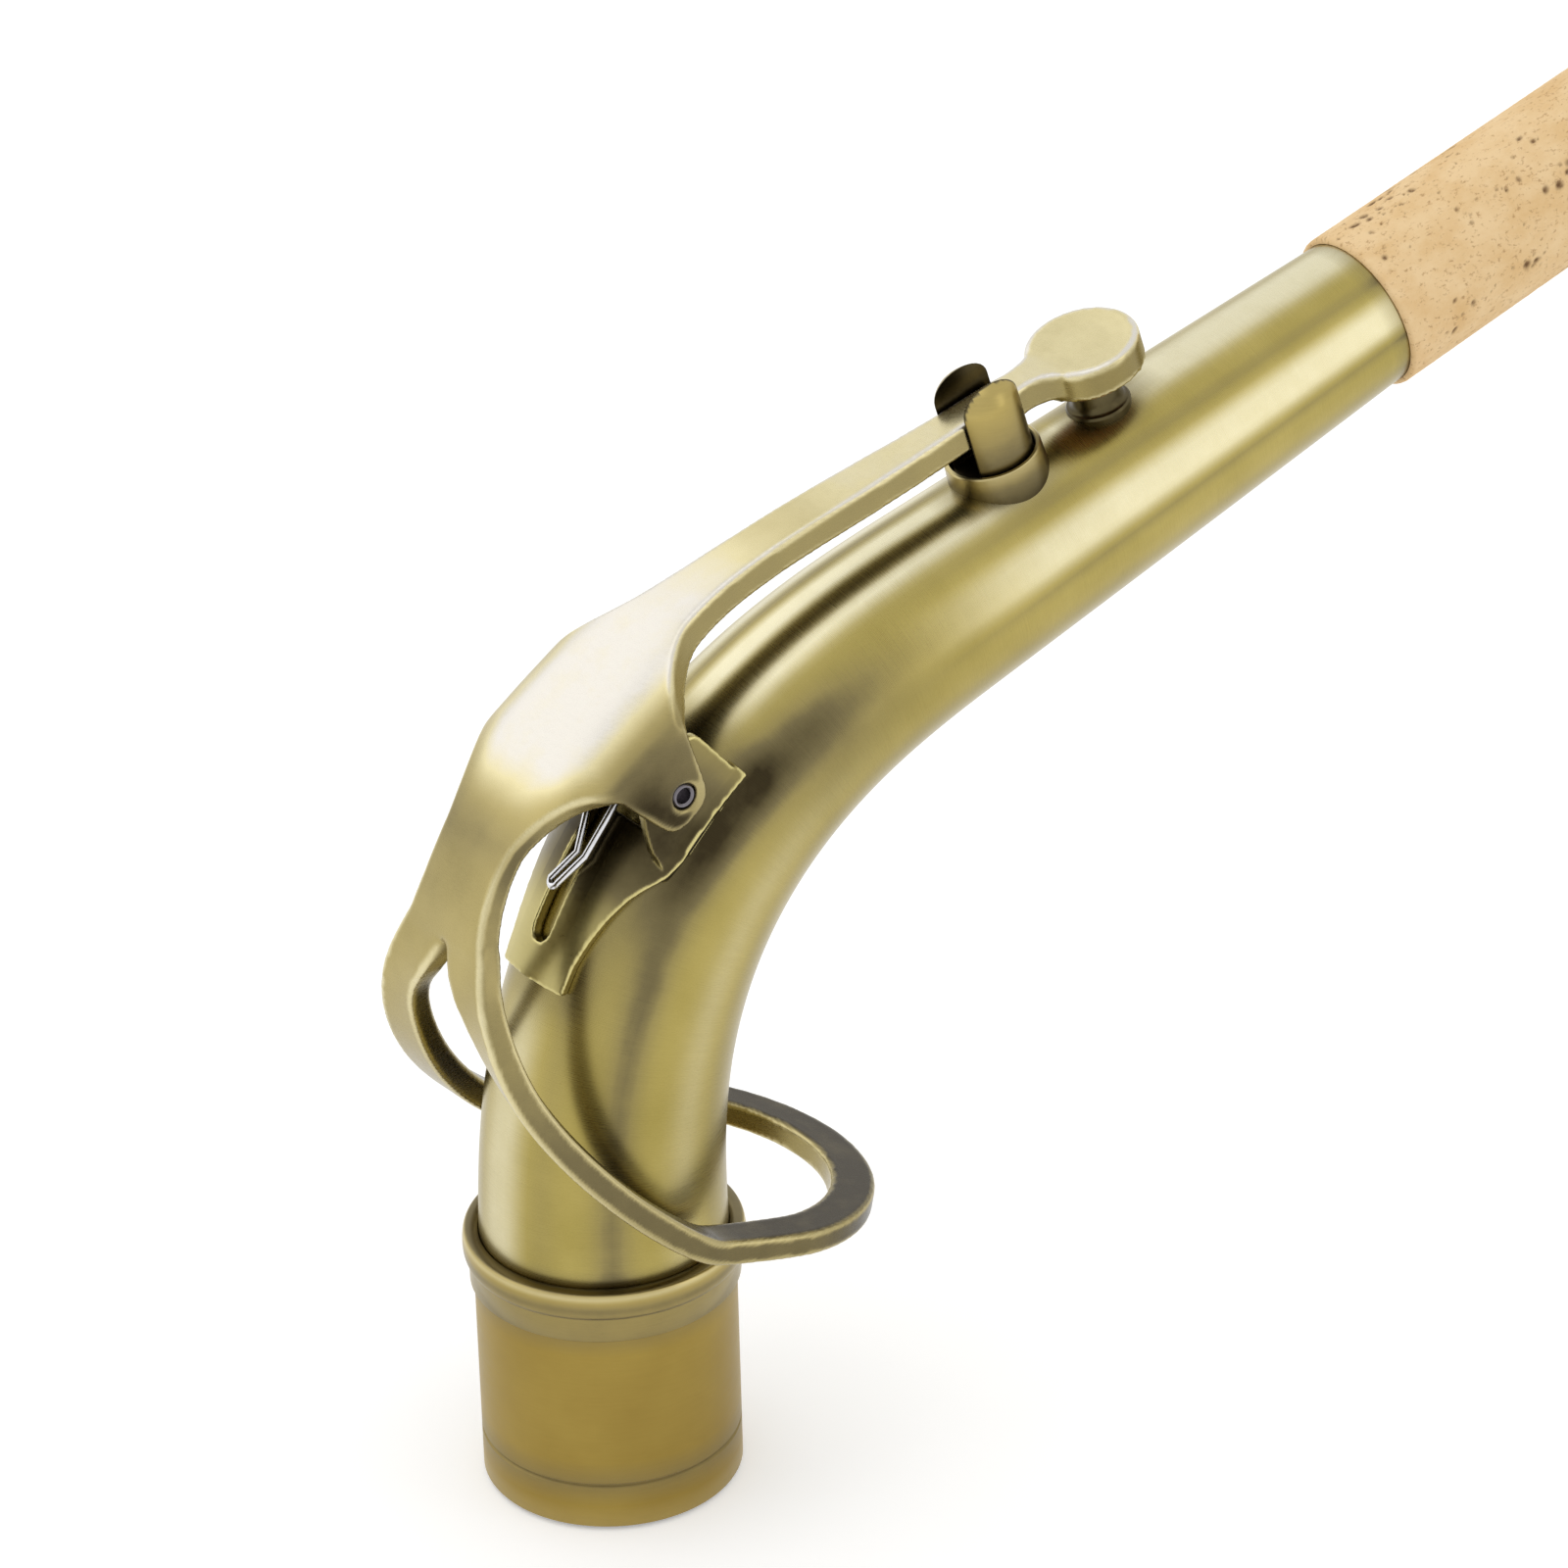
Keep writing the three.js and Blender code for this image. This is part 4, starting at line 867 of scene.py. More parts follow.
def make_collar():
    step = tenon_outer + COLLAR_STEP_WALL + SOLDER_GAP
    inner = tenon_outer - TENON_WALL / 2
    low, top = COLLAR_STEP_HEIGHT, COLLAR_HEIGHT
    middle, half = (low + top) / 2, (top - low) / 2
    profile = [(inner, COLLAR_CHAMFER), (step - COLLAR_CHAMFER, 0), (step, COLLAR_CHAMFER),
               (step, low - 5 * COLLAR_FILLET), (step + COLLAR_FILLET, low - COLLAR_FILLET)]
    steps = 18
    for i in range(1, steps + 1):
        turn = pi * (i / steps - 0.5)
        bulge = COLLAR_BEAD_WALL * max(cos(turn), 0) ** COLLAR_BEAD_POWER
        least = COLLAR_STEP_WALL + COLLAR_BEAD_SHELF if turn < 0 else COLLAR_BORE_GAP
        profile.append((tenon_outer + max(bulge, least), middle + half * sin(turn)))
    bore = TUBE_RADIUS + COLLAR_BORE_GAP
    profile += [(TUBE_RADIUS + COLLAR_CHAMFER, top - COLLAR_CHAMFER / 2), (bore, top - 0.2),
                (bore, top - COLLAR_RECESS), (inner, top - COLLAR_RECESS)]
    return turned("collar_skin", profile, LATHE_SIDES, UP)


# Cork: clusters of pits, drawn at random, over a fine ripple
CORK_SEED = 11
CORK_CLUSTERS = 62
CLUSTER_PITS = (2, 16)
CLUSTER_LEAN = 0.5
CLUSTER_LENGTH = 2.6
CLUSTER_WIDTH = 0.9
PIT_SIZE = 0.13
PIT_SIZE_SPREAD = 0.5
PIT_SQUEEZE = 0.45
PIT_LEAN = 0.7
PIT_DEPTH = 0.22
PIT_LEAST_DEPTH = 0.45
PIT_BRIM = 1.25
PIT_DARKNESS = 1.6
RIPPLE_HEIGHT = 0.045
RIPPLE_SCALE = 0.9
CORK_EDGE = 0.35
CORK_SINK = 0.02


def cork_pits(stations, turns, mean_radius):
    """Depth of the pits, from 0 to 1, over a grid of stations and turns."""
    rng = np.random.default_rng(CORK_SEED)
    grid_s, grid_t = np.meshgrid(stations, turns, indexing="ij")
    depth = np.zeros_like(grid_s)
    for _ in range(CORK_CLUSTERS):
        middle, side = rng.uniform(CORK_STATION + 1, CORK_END), rng.uniform(0, 2 * pi)
        lean = rng.uniform(-CLUSTER_LEAN, CLUSTER_LEAN)
        for _ in range(rng.integers(*CLUSTER_PITS)):
            along, across = rng.normal(0, CLUSTER_LENGTH), rng.normal(0, CLUSTER_WIDTH)
            size = PIT_SIZE + PIT_SIZE_SPREAD * rng.random() ** 3
            squeeze, tilt = rng.uniform(PIT_SQUEEZE, 1), rng.uniform(-PIT_LEAN, PIT_LEAN)
            station = middle + along * cos(lean) - across * sin(lean)
            turn = side + (along * sin(lean) + across * cos(lean)) / mean_radius
            ds = grid_s - station
            da = ((grid_t - turn + pi) % (2 * pi) - pi) * mean_radius
            u = ds * cos(tilt) + da * sin(tilt)
            v = -ds * sin(tilt) + da * cos(tilt)
            reach = np.sqrt((u / size) ** 2 + (v / (size * squeeze)) ** 2)
            pit = np.clip(PIT_BRIM - reach, 0, 1) * min(1, PIT_LEAST_DEPTH + size)
            depth = np.maximum(depth, pit)
    return depth


def make_cork_sleeve():
    start_out = radius_at(CORK_STATION) + SOLDER_GAP + CORK_THICKNESS
    end_out = radius_at(CORK_END) + SOLDER_GAP + CORK_MOUTH_THICKNESS
    mean = (start_out + end_out) / 2
    stations = np.linspace(CORK_STATION, CORK_END, CORK_ROWS)
    turns = circle(CORK_SIDES)
    depth = cork_pits(stations, turns, mean)
    rings, shares = [], []
    for s, depths in zip(stations, depth):
        base = start_out + (end_out - start_out) * (s - CORK_STATION) / CORK_LENGTH
        short = max(CORK_EDGE - min(s - CORK_STATION, CORK_END - s), 0)
        drop = CORK_EDGE - sqrt(max(CORK_EDGE ** 2 - short ** 2, 0))
        ring = []
        for t, pit in zip(turns, depths):
            spot = Vector((s * RIPPLE_SCALE, mean * cos(t) * RIPPLE_SCALE,
                           mean * sin(t) * RIPPLE_SCALE))
            rough = noise.noise(spot * 2.4) * 0.5 + noise.noise(spot * 5.1) * 0.35
            pit *= min(1, max(0, 0.75 + 0.9 * rough))
            radius = base - drop - CORK_SINK + RIPPLE_HEIGHT * (rough - 0.3) - PIT_DEPTH * pit
            ring.append(point_at(s, radius * cos(t), radius * sin(t)))
            shares.append(min(1, pit * PIT_DARKNESS))
        rings.append(ring)
    for s in (CORK_END, CORK_STATION):
        rings.append(ring_at(s, radius_at(s) + SOLDER_GAP / 2, turns))
        shares += [0.0] * CORK_SIDES
    cork = skin("cork_skin", rings, closed_loop=True)
    add_values(cork.data, "pit", np.array(shares))
    return cork


def make_tip_ring():
    near, mouth = CORK_END + SOLDER_GAP, MOUTH_STATION
    outer = radius_at(near) + SOLDER_GAP + TIP_RING_WALL
    inner = radius_at(near) + SOLDER_GAP / 2
    lip = TIP_RING_WALL / 3
    walls = [(near, inner), (near, outer - lip / 2), (near + lip / 2, outer), (mouth - lip, outer),
             (mouth - lip / 3, outer - lip / 3), (mouth, outer - lip), (mouth, inner)]
    turns = circle(LATHE_SIDES)
    return skin("tip_ring_skin", [ring_at(s, r, turns) for s, r in walls], closed_loop=True)


# Saddle
def saddle_outside(station):
    return radius_at(station) + SEAT_GAP + SHEET_THICKNESS


def sheet_ring(station, half_width):
    """Section of the curved sheet; it starts inside the tube, which is cut out of it later."""
    reach = asin(half_width / (radius_at(station) + SEAT_GAP))
    arc = [reach * (2 * i / SHEET_STEPS - 1) for i in range(SHEET_STEPS + 1)]
    return (ring_at(station, saddle_outside(station), arc)
            + ring_at(station, radius_at(station) - SEAT_GAP, reversed(arc)))


def box_cutter(places, headroom):
    """Cutter above the tube's middle, through pairs of a station and a half width."""
    rings = []
    for s, width in places:
        corners = rectangle(width, CUTTER_FOOT, saddle_outside(s) + headroom)
        rings.append([point_at(s, out, y) for y, out in corners])
    return skin("cutter", rings)


def saddle_tarnish_and_painted_light(points, normals, proud):
    forward, above, sideways = local_place(points, hinge_frame)
    # Painted shade: darker under the key, most just behind the ears, lighter towards the front and
    # the tail, and darker along the middle
    tarnish_and_painted_shade = (0.45 + 0.5 * bell(forward, -4, 5.5) - 0.2 * rise(forward, 1, 5)
               - 0.35 * fall(forward, -17, -12)
               + 0.2 * (np.abs(sideways) < SADDLE_TAIL_HALF_WIDTH - 1))
    rear_wall = rise(forward, -8.5, -7.5) * fall(forward, -3.4, -2.6) * rise(above, -4.6, -3.6)
    # Edges paled by wear and painted highlight, but not on the walls' rear ends; the tail paled as
    # painted light, and the walls' rear end faces given less painted shade
    edge = rise(proud, 0.002, 0.008) * (1 - rear_wall)
    tail = fall(forward, -16, -9)
    facing = -(normals @ np.array(hinge_frame.inverted())[0, :3])
    rear_end = (rise(facing, 0.2, 0.6) * rise(forward, -9, -8) * fall(forward, -2, -1)
                * rise(above, -5.4, -4.6))
    tarnish_and_painted_shade = tarnish_and_painted_shade * (1 - 0.75 * rear_end) * (1 - edge) * (1 - 0.8 * tail)
    return tarnish_and_painted_shade, 0.8 * edge + 0.6 * tail * (1 - edge)


def hug_outline(mesh):
    """Draws the walls' rear ends in to the sheet's outline, which narrows there."""
    points = rows_of(mesh.vertices, "co")
    s, out, _ = tube_place(points)
    radius = radii_at(s)
    width = np.interp(s - HINGE_STATION, saddle_places, saddle_widths)
    radial = np.hypot(out, points[:, 1]) - radius
    top = SEAT_GAP + SHEET_THICKNESS
    narrowing = SADDLE_EDGE_SHARES[-2][0] * SADDLE_TAIL_REACH
    behind = rise(narrowing + s - HINGE_STATION, 0.8, 0) * (radial > 0)
    y = np.abs(points[:, 1])
    y = y - behind * rise(radial, top, top + 0.5) * (SADDLE_HALF_WIDTH - width)
    limit = width * (radius + np.minimum(radial, top)) / (radius + SEAT_GAP)
    y = np.where(behind > 0, np.minimum(y, limit), y)
    points[:, 1] = np.sign(points[:, 1]) * y
    move_points(mesh, points)


def make_saddle():
    ahead = np.linspace(-SADDLE_TAIL_REACH, SADDLE_FRONT_REACH, SHEET_ROWS)
    half_widths = blurred(saddle_places, saddle_widths[:, None], ahead, SHEET_BLUR)[:, 0]
    saddle = skin("saddle_skin", [sheet_ring(HINGE_STATION + a, width)
                                  for a, width in zip(ahead, half_widths)])
    foot = -hinge_out + sqrt(radius_at(HINGE_STATION) ** 2 - SADDLE_HALF_WIDTH ** 2)
    head, rear_foot = SADDLE_WALL_HEAD, foot + SHEET_THICKNESS
    outline = [(-SADDLE_WALL_REAR - SHEET_THICKNESS, foot),
               (SADDLE_WALL_FRONT - SHEET_THICKNESS / 2, foot), (SADDLE_WALL_FRONT, head / 3)]
    outline += curve_through(outline[-1], (SADDLE_WALL_FRONT, head), (head, head), 8)
    outline.append((-head / 2, head))
    outline += curve_through(outline[-1], (-SADDLE_WALL_REAR / 2, head),
                             (-SADDLE_WALL_REAR * 0.9, -HINGE_RISE), 10)
    outline += curve_through(outline[-1], (-SADDLE_WALL_REAR, rear_foot),
                             (-SADDLE_WALL_REAR - SHEET_THICKNESS, rear_foot), 6)
    inner = SADDLE_HALF_WIDTH - SADDLE_WALL_THICKNESS
    for low in (inner, -SADDLE_HALF_WIDTH):
        wall = slab("wall", outline, low, low + SADDLE_WALL_THICKNESS, hinge_frame)
        cut(saddle, wall, "UNION")
    reach = 2 * (SADDLE_TAIL_REACH + SADDLE_FRONT_REACH)
    stations = stations_between(HINGE_STATION - reach, HINGE_STATION + reach, 1.5, 3)
    turns = circle(TUBE_SIDES)
    rings = [ring_at(s, radius_at(s) + SADDLE_TUBE_GAP, turns) for s in stations]
    cut(saddle, skin("cutter", rings))
    tail = HINGE_STATION - SADDLE_TAIL_REACH + SLOT_TAIL_LAND + SLOT_HALF_WIDTH
    steps = 8
    quarter = [pi / 2 * i / steps for i in range(steps + 1)]
    slot = [(tail - SLOT_HALF_WIDTH * cos(turn),
             SLOT_HALF_WIDTH * max(sin(turn), SLOT_END_SHARE)) for turn in quarter]
    slot += [(s, SLOT_HALF_WIDTH)
             for s in (tail + 2, tail + 4, tail + 6, tail + 8, HINGE_STATION - 1)]
    cut(saddle, box_cutter(slot, SLOT_HEADROOM))
    well = (-SPRING_WELL_REACH, 0, SADDLE_WALL_FRONT + 2)
    cut(saddle, box_cutter([(HINGE_STATION + a, inner) for a in well], WELL_HEADROOM))
    cut(saddle, rod_bore())
    fuse(saddle, SADDLE_VOXEL, SADDLE_PASSES)
    hug_outline(saddle.data)
    relax(saddle, SADDLE_PASSES * 2, keep_volume=True)
    return saddle


# Pivot rod
def make_rod():
    near = SHIELD_HALF_WIDTH - ROD_NEAR_RECESS
    seat = SHIELD_HALF_WIDTH + ROD_HEAD_GAP
    head = seat + ROD_HEAD_THICKNESS
    lip = ROD_CHAMFER
    profile = [(0, -near + ROD_END_HOLE_DEPTH), (ROD_END_HOLE_RADIUS, -near + ROD_END_HOLE_DEPTH),
               (ROD_END_HOLE_RADIUS, -near + lip), (ROD_END_HOLE_RADIUS + lip, -near),
               (ROD_RADIUS - lip, -near), (ROD_RADIUS, -near + lip), (ROD_RADIUS, seat),
               (ROD_HEAD_RADIUS - lip, seat), (ROD_HEAD_RADIUS, seat + lip),
               (ROD_HEAD_RADIUS, head - 2 * lip), (ROD_HEAD_RADIUS - 2 * lip, head), (0, head)]
    rod = turned("pivot_rod_skin", profile, ROD_SIDES, ALONG_HINGE)
    return cut(rod, slab("cutter", rectangle(ROD_DRIVE_WIDTH / 2, -3, 3), -head - 1,
                         -head + ROD_DRIVE_DEPTH, hinge_frame))


# Key. Rows: share of the reach back from the hinge, of the half width, and of the stand
TAIL_SHARES = [
    (1, 0.6, 0.957), (0.9, 0.54, 0.972), (0.8, 0.5, 0.985), (0.67, 0.485, 1),
    (0.55, 0.5, 1.003), (0.42, 0.6, 0.995), (0.33, 0.7, 0.987), (0.26, 0.8, 0.98),
    (0.21, 0.9, 0.969), (0.18, 1, 0.962), (0.09, 1, 0.94),
]
# Rows: share of the way to the pad, and shares of the shield's width and stand over the arm's
ARM_SHARES = [
    (0, 1, 0.8), (0.034, 1, 0.725), (0.059, 1, 0.685), (0.073, 0.877, 0.663),
    (0.088, 0.753, 0.642), (0.101, 0.629, 0.62), (0.117, 0.506, 0.592), (0.135, 0.383, 0.568),
    (0.159, 0.26, 0.53), (0.191, 0.191, 0.458), (0.23, 0.136, 0.38), (0.269, 0.111, 0.31),
    (0.313, 0.093, 0.235), (0.362, 0.086, 0.168), (0.421, 0.078, 0.1), (0.49, 0.069, 0.045),
    (0.587, 0.04, 0.01), (0.685, 0.01, 0), (0.822, 0, 0), (0.85, -0.03, 0),
    (0.88, 0, -0.01), (0.9, 0.06, -0.03), (0.92, 0.15, -0.07), (0.94, 0.2, -0.14),
]
# Rows: share of the way from the plate to the ring, and shares of the spread and the narrowing
LOOP_SHARES = [
    (0, 0.19, 0), (0.06, 0.255, 0.3), (0.125, 0.375, 0.8), (0.19, 0.46, 1), (0.25, 0.52, 1),
    (0.375, 0.635, 1), (0.5, 0.765, 1), (0.62, 0.87, 1), (0.74, 0.935, 1), (0.85, 0.96, 1),
    (0.93, 0.955, 1), (1, 0.945, 1),
]
# Rows: shares of the ear's radius and height
EAR_FRONT_SHARES = [(2, 0.55), (2.25, 0.78), (0, 1)]
# Rows: shares of the cup's radius and dome
CUP_DISH_SHARES = [(1, -1.3), (0.985, -0.3), (0.95, 0.3), (0.9, 0.5), (0.8, 0.35), (0.5, 0.05),
                   (0, -0.05)]
ARM_THICK_SHARE = 0.16
TAIL_THIN_SHARE = 0.55
TAIL_FLAT_SHARE = 0.7
key_tail = HINGE_STATION - KEY_TAIL_REACH
arm_reach = PAD_STATION - HINGE_STATION
pad_bottom = PIP_RISE + PAD_GAP
pad_top = pad_bottom + PAD_THICKNESS
recess_radius = PAD_RADIUS + PAD_GAP
cup_radius = recess_radius + CUP_WALL
cup_roof_under = pad_top + PAD_GAP
ring_middle = TUBE_RADIUS + RING_GAP + RING_WIDTH / 2


def crown_drop(y):
    return CROWN_DROP * (abs(y) / SHIELD_HALF_WIDTH) ** CROWN_POWER


def rounded_section(half_width, thickness, across=25):
    """Outline (u, v) of a bar with rounded edges; v runs from its outer face inwards."""
    flat_half = half_width - EDGE_ROUND
    low = thickness - EDGE_ROUND
    top = [(flat_half * sin(pi * (i / (across - 1) - 0.5)), 0) for i in range(across)]
    outline = list(top)
    for quarter, (u, v) in enumerate(((flat_half, EDGE_ROUND), (flat_half, low),
                                      (-flat_half, low), (-flat_half, EDGE_ROUND))):
        if quarter == 2:
            outline += [(-x, thickness) for x, _ in top]
        for i in range(CORNER_STEPS):
            turn = pi / 2 * (quarter + (i + 0.5) / CORNER_STEPS)
            outline.append((u + EDGE_ROUND * sin(turn), v - EDGE_ROUND * cos(turn)))
    return outline


def plate_table():
    """Rows of half width, stand, thickness and share of flattening, by station."""
    places, rows = [], []
    for back, width, stand in TAIL_SHARES:
        thicken = max(0, (back - TAIL_THIN_SHARE) / (1 - TAIL_THIN_SHARE))
        places.append(HINGE_STATION - KEY_TAIL_REACH * back)
        rows.append((SHIELD_HALF_WIDTH * width, PLATE_STAND * stand,
                     PLATE_THICKNESS + (BRANCH_THICKNESS - PLATE_THICKNESS) * thicken,
                     max(0, (back - TAIL_FLAT_SHARE) / (1 - TAIL_FLAT_SHARE))))
    for ahead, width, stand in ARM_SHARES:
        thicken = min(1, ahead / ARM_THICK_SHARE)
        places.append(HINGE_STATION + arm_reach * ahead)
        rows.append((ARM_HALF_WIDTH + (SHIELD_HALF_WIDTH - ARM_HALF_WIDTH) * width,
                     ARM_STAND + (PLATE_STAND - ARM_STAND) * stand,
                     PLATE_THICKNESS + (ARM_THICKNESS - PLATE_THICKNESS) * thicken, 0))
    return places, rows


def make_plate():
    places, rows = plate_table()
    stations = np.linspace(places[0], places[-1], PLATE_ROWS)
    rings = []
    for s, (half_width, stand, thickness, flattened) in zip(
            stations, blurred(places, rows, stations, PLATE_BLUR)):
        ring = []
        for u, v in rounded_section(half_width, thickness):
            drop = crown_drop(u) + (crown_drop(half_width) - crown_drop(u)) * flattened
            ring.append(point_at(s, radius_at(s) + stand - drop - v, u))
        rings.append(ring)
    return skin("plate", rings)


def over_crown(station, stand):
    """Place (x, z) above the crown, in the middle plane."""
    point = point_at(station, radius_at(station) + stand, 0)
    return np.array((point.x, point.z))


def loop_stops():
    """One branch and half of the ring: (x, z), heading, y, width, thickness and tilt."""
    root_width = TAIL_SHARES[0][1] * SHIELD_HALF_WIDTH
    root = over_crown(key_tail, PLATE_STAND * TAIL_SHARES[0][2] - crown_drop(root_width))
    above = over_crown(key_tail + BRANCH_ROOT_LENGTH / 2, PLATE_STAND * TAIL_SHARES[1][2])
    tail_heading = unit(root - above)
    c, s = cos(BRANCH_ROOT_TURN), sin(BRANCH_ROOT_TURN)
    root_heading = np.array((c * tail_heading[0] - s * tail_heading[1],
                             s * tail_heading[0] + c * tail_heading[1]))
    ring_heading = np.array((cos(RING_TILT), -sin(RING_TILT)))
    ring_up = np.array((sin(RING_TILT), cos(RING_TILT)))
    ring_centre = np.array((RING_CENTRE_X, RING_TOP_HEIGHT)) - ring_up * RING_THICKNESS
    toe = ring_centre - ring_heading * BRANCH_TOE_SETBACK
    controls = [root, root + root_heading * BRANCH_ROOT_PULL,
                toe - ring_heading * BRANCH_TOE_PULL, toe]
    ts = np.linspace(0, 1, BRANCH_ROWS)
    values = blurred([row[0] for row in LOOP_SHARES], [row[1:] for row in LOOP_SHARES], ts,
                     LOOP_BLUR)
    inward = np.array((-tail_heading[1], tail_heading[0]))
    stops = [(root - tail_heading * BRANCH_OVERLAP + inward * ROOT_SINK, tail_heading,
              ring_middle * BRANCH_ROOT_SPREAD, root_width - 2 * ROOT_SINK,
              BRANCH_THICKNESS - 2 * ROOT_SINK, 0)]
    for t, (spread, narrowed) in zip(ts, values):
        weights = ((1 - t) ** 3, 3 * (1 - t) ** 2 * t, 3 * (1 - t) * t * t, t ** 3)
        point = sum(w * p for w, p in zip(weights, controls))
        slope = ((1 - t) ** 2 * (controls[1] - controls[0])
                 + 2 * (1 - t) * t * (controls[2] - controls[1])
                 + t * t * (controls[3] - controls[2]))
        to_ring, levelled = smooth((t - 0.7) / 0.3), smooth((t - 0.25) / 0.5)
        width = root_width + (BRANCH_WIDTH - root_width) * narrowed
        stops.append((point, unit(slope), ring_middle * spread,
                      width + (RING_WIDTH - width) * to_ring,
                      BRANCH_THICKNESS + (RING_THICKNESS - BRANCH_THICKNESS) * to_ring,
                      BRANCH_TILT * narrowed * (1 - levelled) * min(t / BRANCH_TILT_ONSET, 1)))
    for i in range(RING_STEPS + 1):
        turn = pi / 2 * (1 - i / RING_STEPS)
        stops.append((ring_centre + ring_heading * ring_middle * cos(turn), ring_heading,
                      ring_middle * sin(turn), RING_WIDTH, RING_THICKNESS, 0))
    return stops


def make_loop():
    half = loop_stops()
    stops = half + [(p, h, -y, *rest) for p, h, y, *rest in reversed(half[:-1])]
    places = eased([(p[0], y, p[1]) for p, _, y, *_ in stops], LOOP_PATH_PASSES)
    headings = eased([h for _, h, *_ in stops], LOOP_PATH_PASSES)
    sizes = eased([rest for _, _, _, *rest in stops], LOOP_SIZE_PASSES)
    rings = []
    for i, (width, thickness, tilt) in enumerate(sizes):
        heading = unit(headings[i])
        tangent = Vector(places[min(i + 1, len(stops) - 1)] - places[max(i - 1, 0)]).normalized()
        inward = Vector((-heading[1], 0, heading[0]))
        across = inward.cross(tangent).normalized()
        centre = Vector(places[i]) + inward * thickness / 2
        turn = Matrix.Rotation(-tilt, 3, tangent)
        inward, across = turn @ inward, turn @ across
        rings.append([centre + across * u + inward * (v - thickness / 2)
                      for u, v in rounded_section(width / 2, thickness, 9)])
    return skin("loop", rings)


def make_ear(side):
    outline = [(-EAR_REAR - EAR_RADIUS / 5, EAR_HEIGHT), (-EAR_REAR, 0)]
    outline += curve_through((-EAR_REAR, 0), (-EAR_REAR, -EAR_RADIUS), (0, -EAR_RADIUS), 10)
    steps = 12
    for i in range(1, steps + 1):
        turn = -pi / 2 + (3 * pi / 8) * i / steps
        outline.append((EAR_RADIUS * cos(turn), EAR_RADIUS * sin(turn)))
    outline += [(x * EAR_RADIUS, EAR_HEIGHT * y) for x, y in EAR_FRONT_SHARES]
    low = SHIELD_HALF_WIDTH - EAR_THICKNESS if side > 0 else -SHIELD_HALF_WIDTH
    return cut(slab("ear", outline, low, low + EAR_THICKNESS, hinge_frame), rod_bore())


def make_cup():
    rim = cup_roof_under - CUP_DEPTH
    shoulder = cup_roof_under + CUP_ROOF
    profile = [(0, cup_roof_under), (recess_radius, cup_roof_under), (recess_radius, rim),
               (cup_radius, rim)]
    profile += [(cup_radius * r, shoulder + CUP_DOME * h) for r, h in CUP_DISH_SHARES]
    return turned("cup", profile, CUP_SIDES, pad_frame)


# Places of the key that are rounded more: the folds above the ears and the crotch of the branches
FOLD_HEIGHT = 6.5
FOLD_MIDDLE = 0.6
FOLD_HALF_LENGTH = 2.4
FOLD_END_RATIO = 1.8
FOLD_REACH = 3.3
CROTCH_SETBACK = 0.6
CROTCH_STAND_SHARE = 0.94
CROTCH_WIDTH_RATIO = 1.7
CROTCH_REACH = 3.4


def near_folds(points):
    along, above, across = local_place(points, hinge_frame)
    sideways = np.abs(across) - SHIELD_HALF_WIDTH
    past = FOLD_END_RATIO * np.clip(np.abs(along - FOLD_MIDDLE) - FOLD_HALF_LENGTH, 0, None)
    distance = (above - FOLD_HEIGHT) ** 2 + sideways ** 2 + past ** 2
    return np.exp(-distance / FOLD_REACH ** 2)


def near_crotch(points):
    out = radius_at(key_tail) + PLATE_STAND * CROTCH_STAND_SHARE
    x, y, z = (points - np.array(point_at(key_tail - CROTCH_SETBACK, out, 0))).T
    return np.exp(-(x ** 2 + (y / CROTCH_WIDTH_RATIO) ** 2 + z ** 2) / CROTCH_REACH ** 2)


def key_tarnish_and_painted_light(points, normals, proud):
    s, out, _ = tube_place(points)
    forward, above, sideways = local_place(points, hinge_frame)
    wide = np.abs(sideways)
    heading = np.array([heading_at(v) for v in s])
    outward = -normals[:, 0] * np.sin(heading) + normals[:, 2] * np.cos(heading)
    ahead = (s - HINGE_STATION) / arm_reach
    high = rise(points[:, 2], 14, 20)
    top, underneath = rise(outward, 0.4, 0.85), rise(-outward, 0.1, 0.7)
    ear = rise(wide, 6, 9) * bell(forward, -0.5, 6.5) * fall(above, 3, 9.5)
    ring_up = normals[:, 0] * sin(RING_TILT) + normals[:, 2] * cos(RING_TILT)
    tail = bell(forward, -13, 3.2) * rise(out, 18, 22)
    side = rise(np.abs(normals[:, 1]), 0.6, 0.95) * (1 - ear)
    cup = rise(ahead, 0.9, 0.96)
    # Darker: painted shade on the ears, the underside, the tail of the plate, the upper faces of
    # the ring low down and the side faces, and darker towards the bottom
    tarnish_and_painted_shade = (0.62 * ear + 0.45 * ear * bell(forward, -3, 2.5) + 0.5 * underneath + 0.34 * tail
               + 1.1 * (1 - high) * rise(ring_up, 0.6, 0.9) * rise(points[:, 0], -3, 9)
               + 0.28 * side + 0.05 * fall(forward, -19, -15) + 0.24 * fall(points[:, 2], 16, 36))
    # Paler: painted highlights on the top of the plate, the arm and the cup and faintly on the high
    # parts; edges paled by wear and painted highlight
    near_arch = 0.5 * np.clip(-3 - forward, 0, None)
    middle = fall(wide + near_arch, 5, 9) * rise(forward, -11, -4.5) * fall(ahead, 0.14, 0.44)
    edge = rise(proud, 0.005, 0.015)
    worn_and_painted_highlight = (0.9 * top * middle + 0.5 * top * rise(ahead, 0.3, 0.5) * (1 - cup)
              + 0.48 * top * cup + 0.1 * high * (1 - underneath) * (1 - cup) * (1 - ear)
              + 0.5 * edge)
    return tarnish_and_painted_shade * (1 - 0.7 * edge), worn_and_painted_highlight * (1 - np.clip(tarnish_and_painted_shade, 0, 0.8))


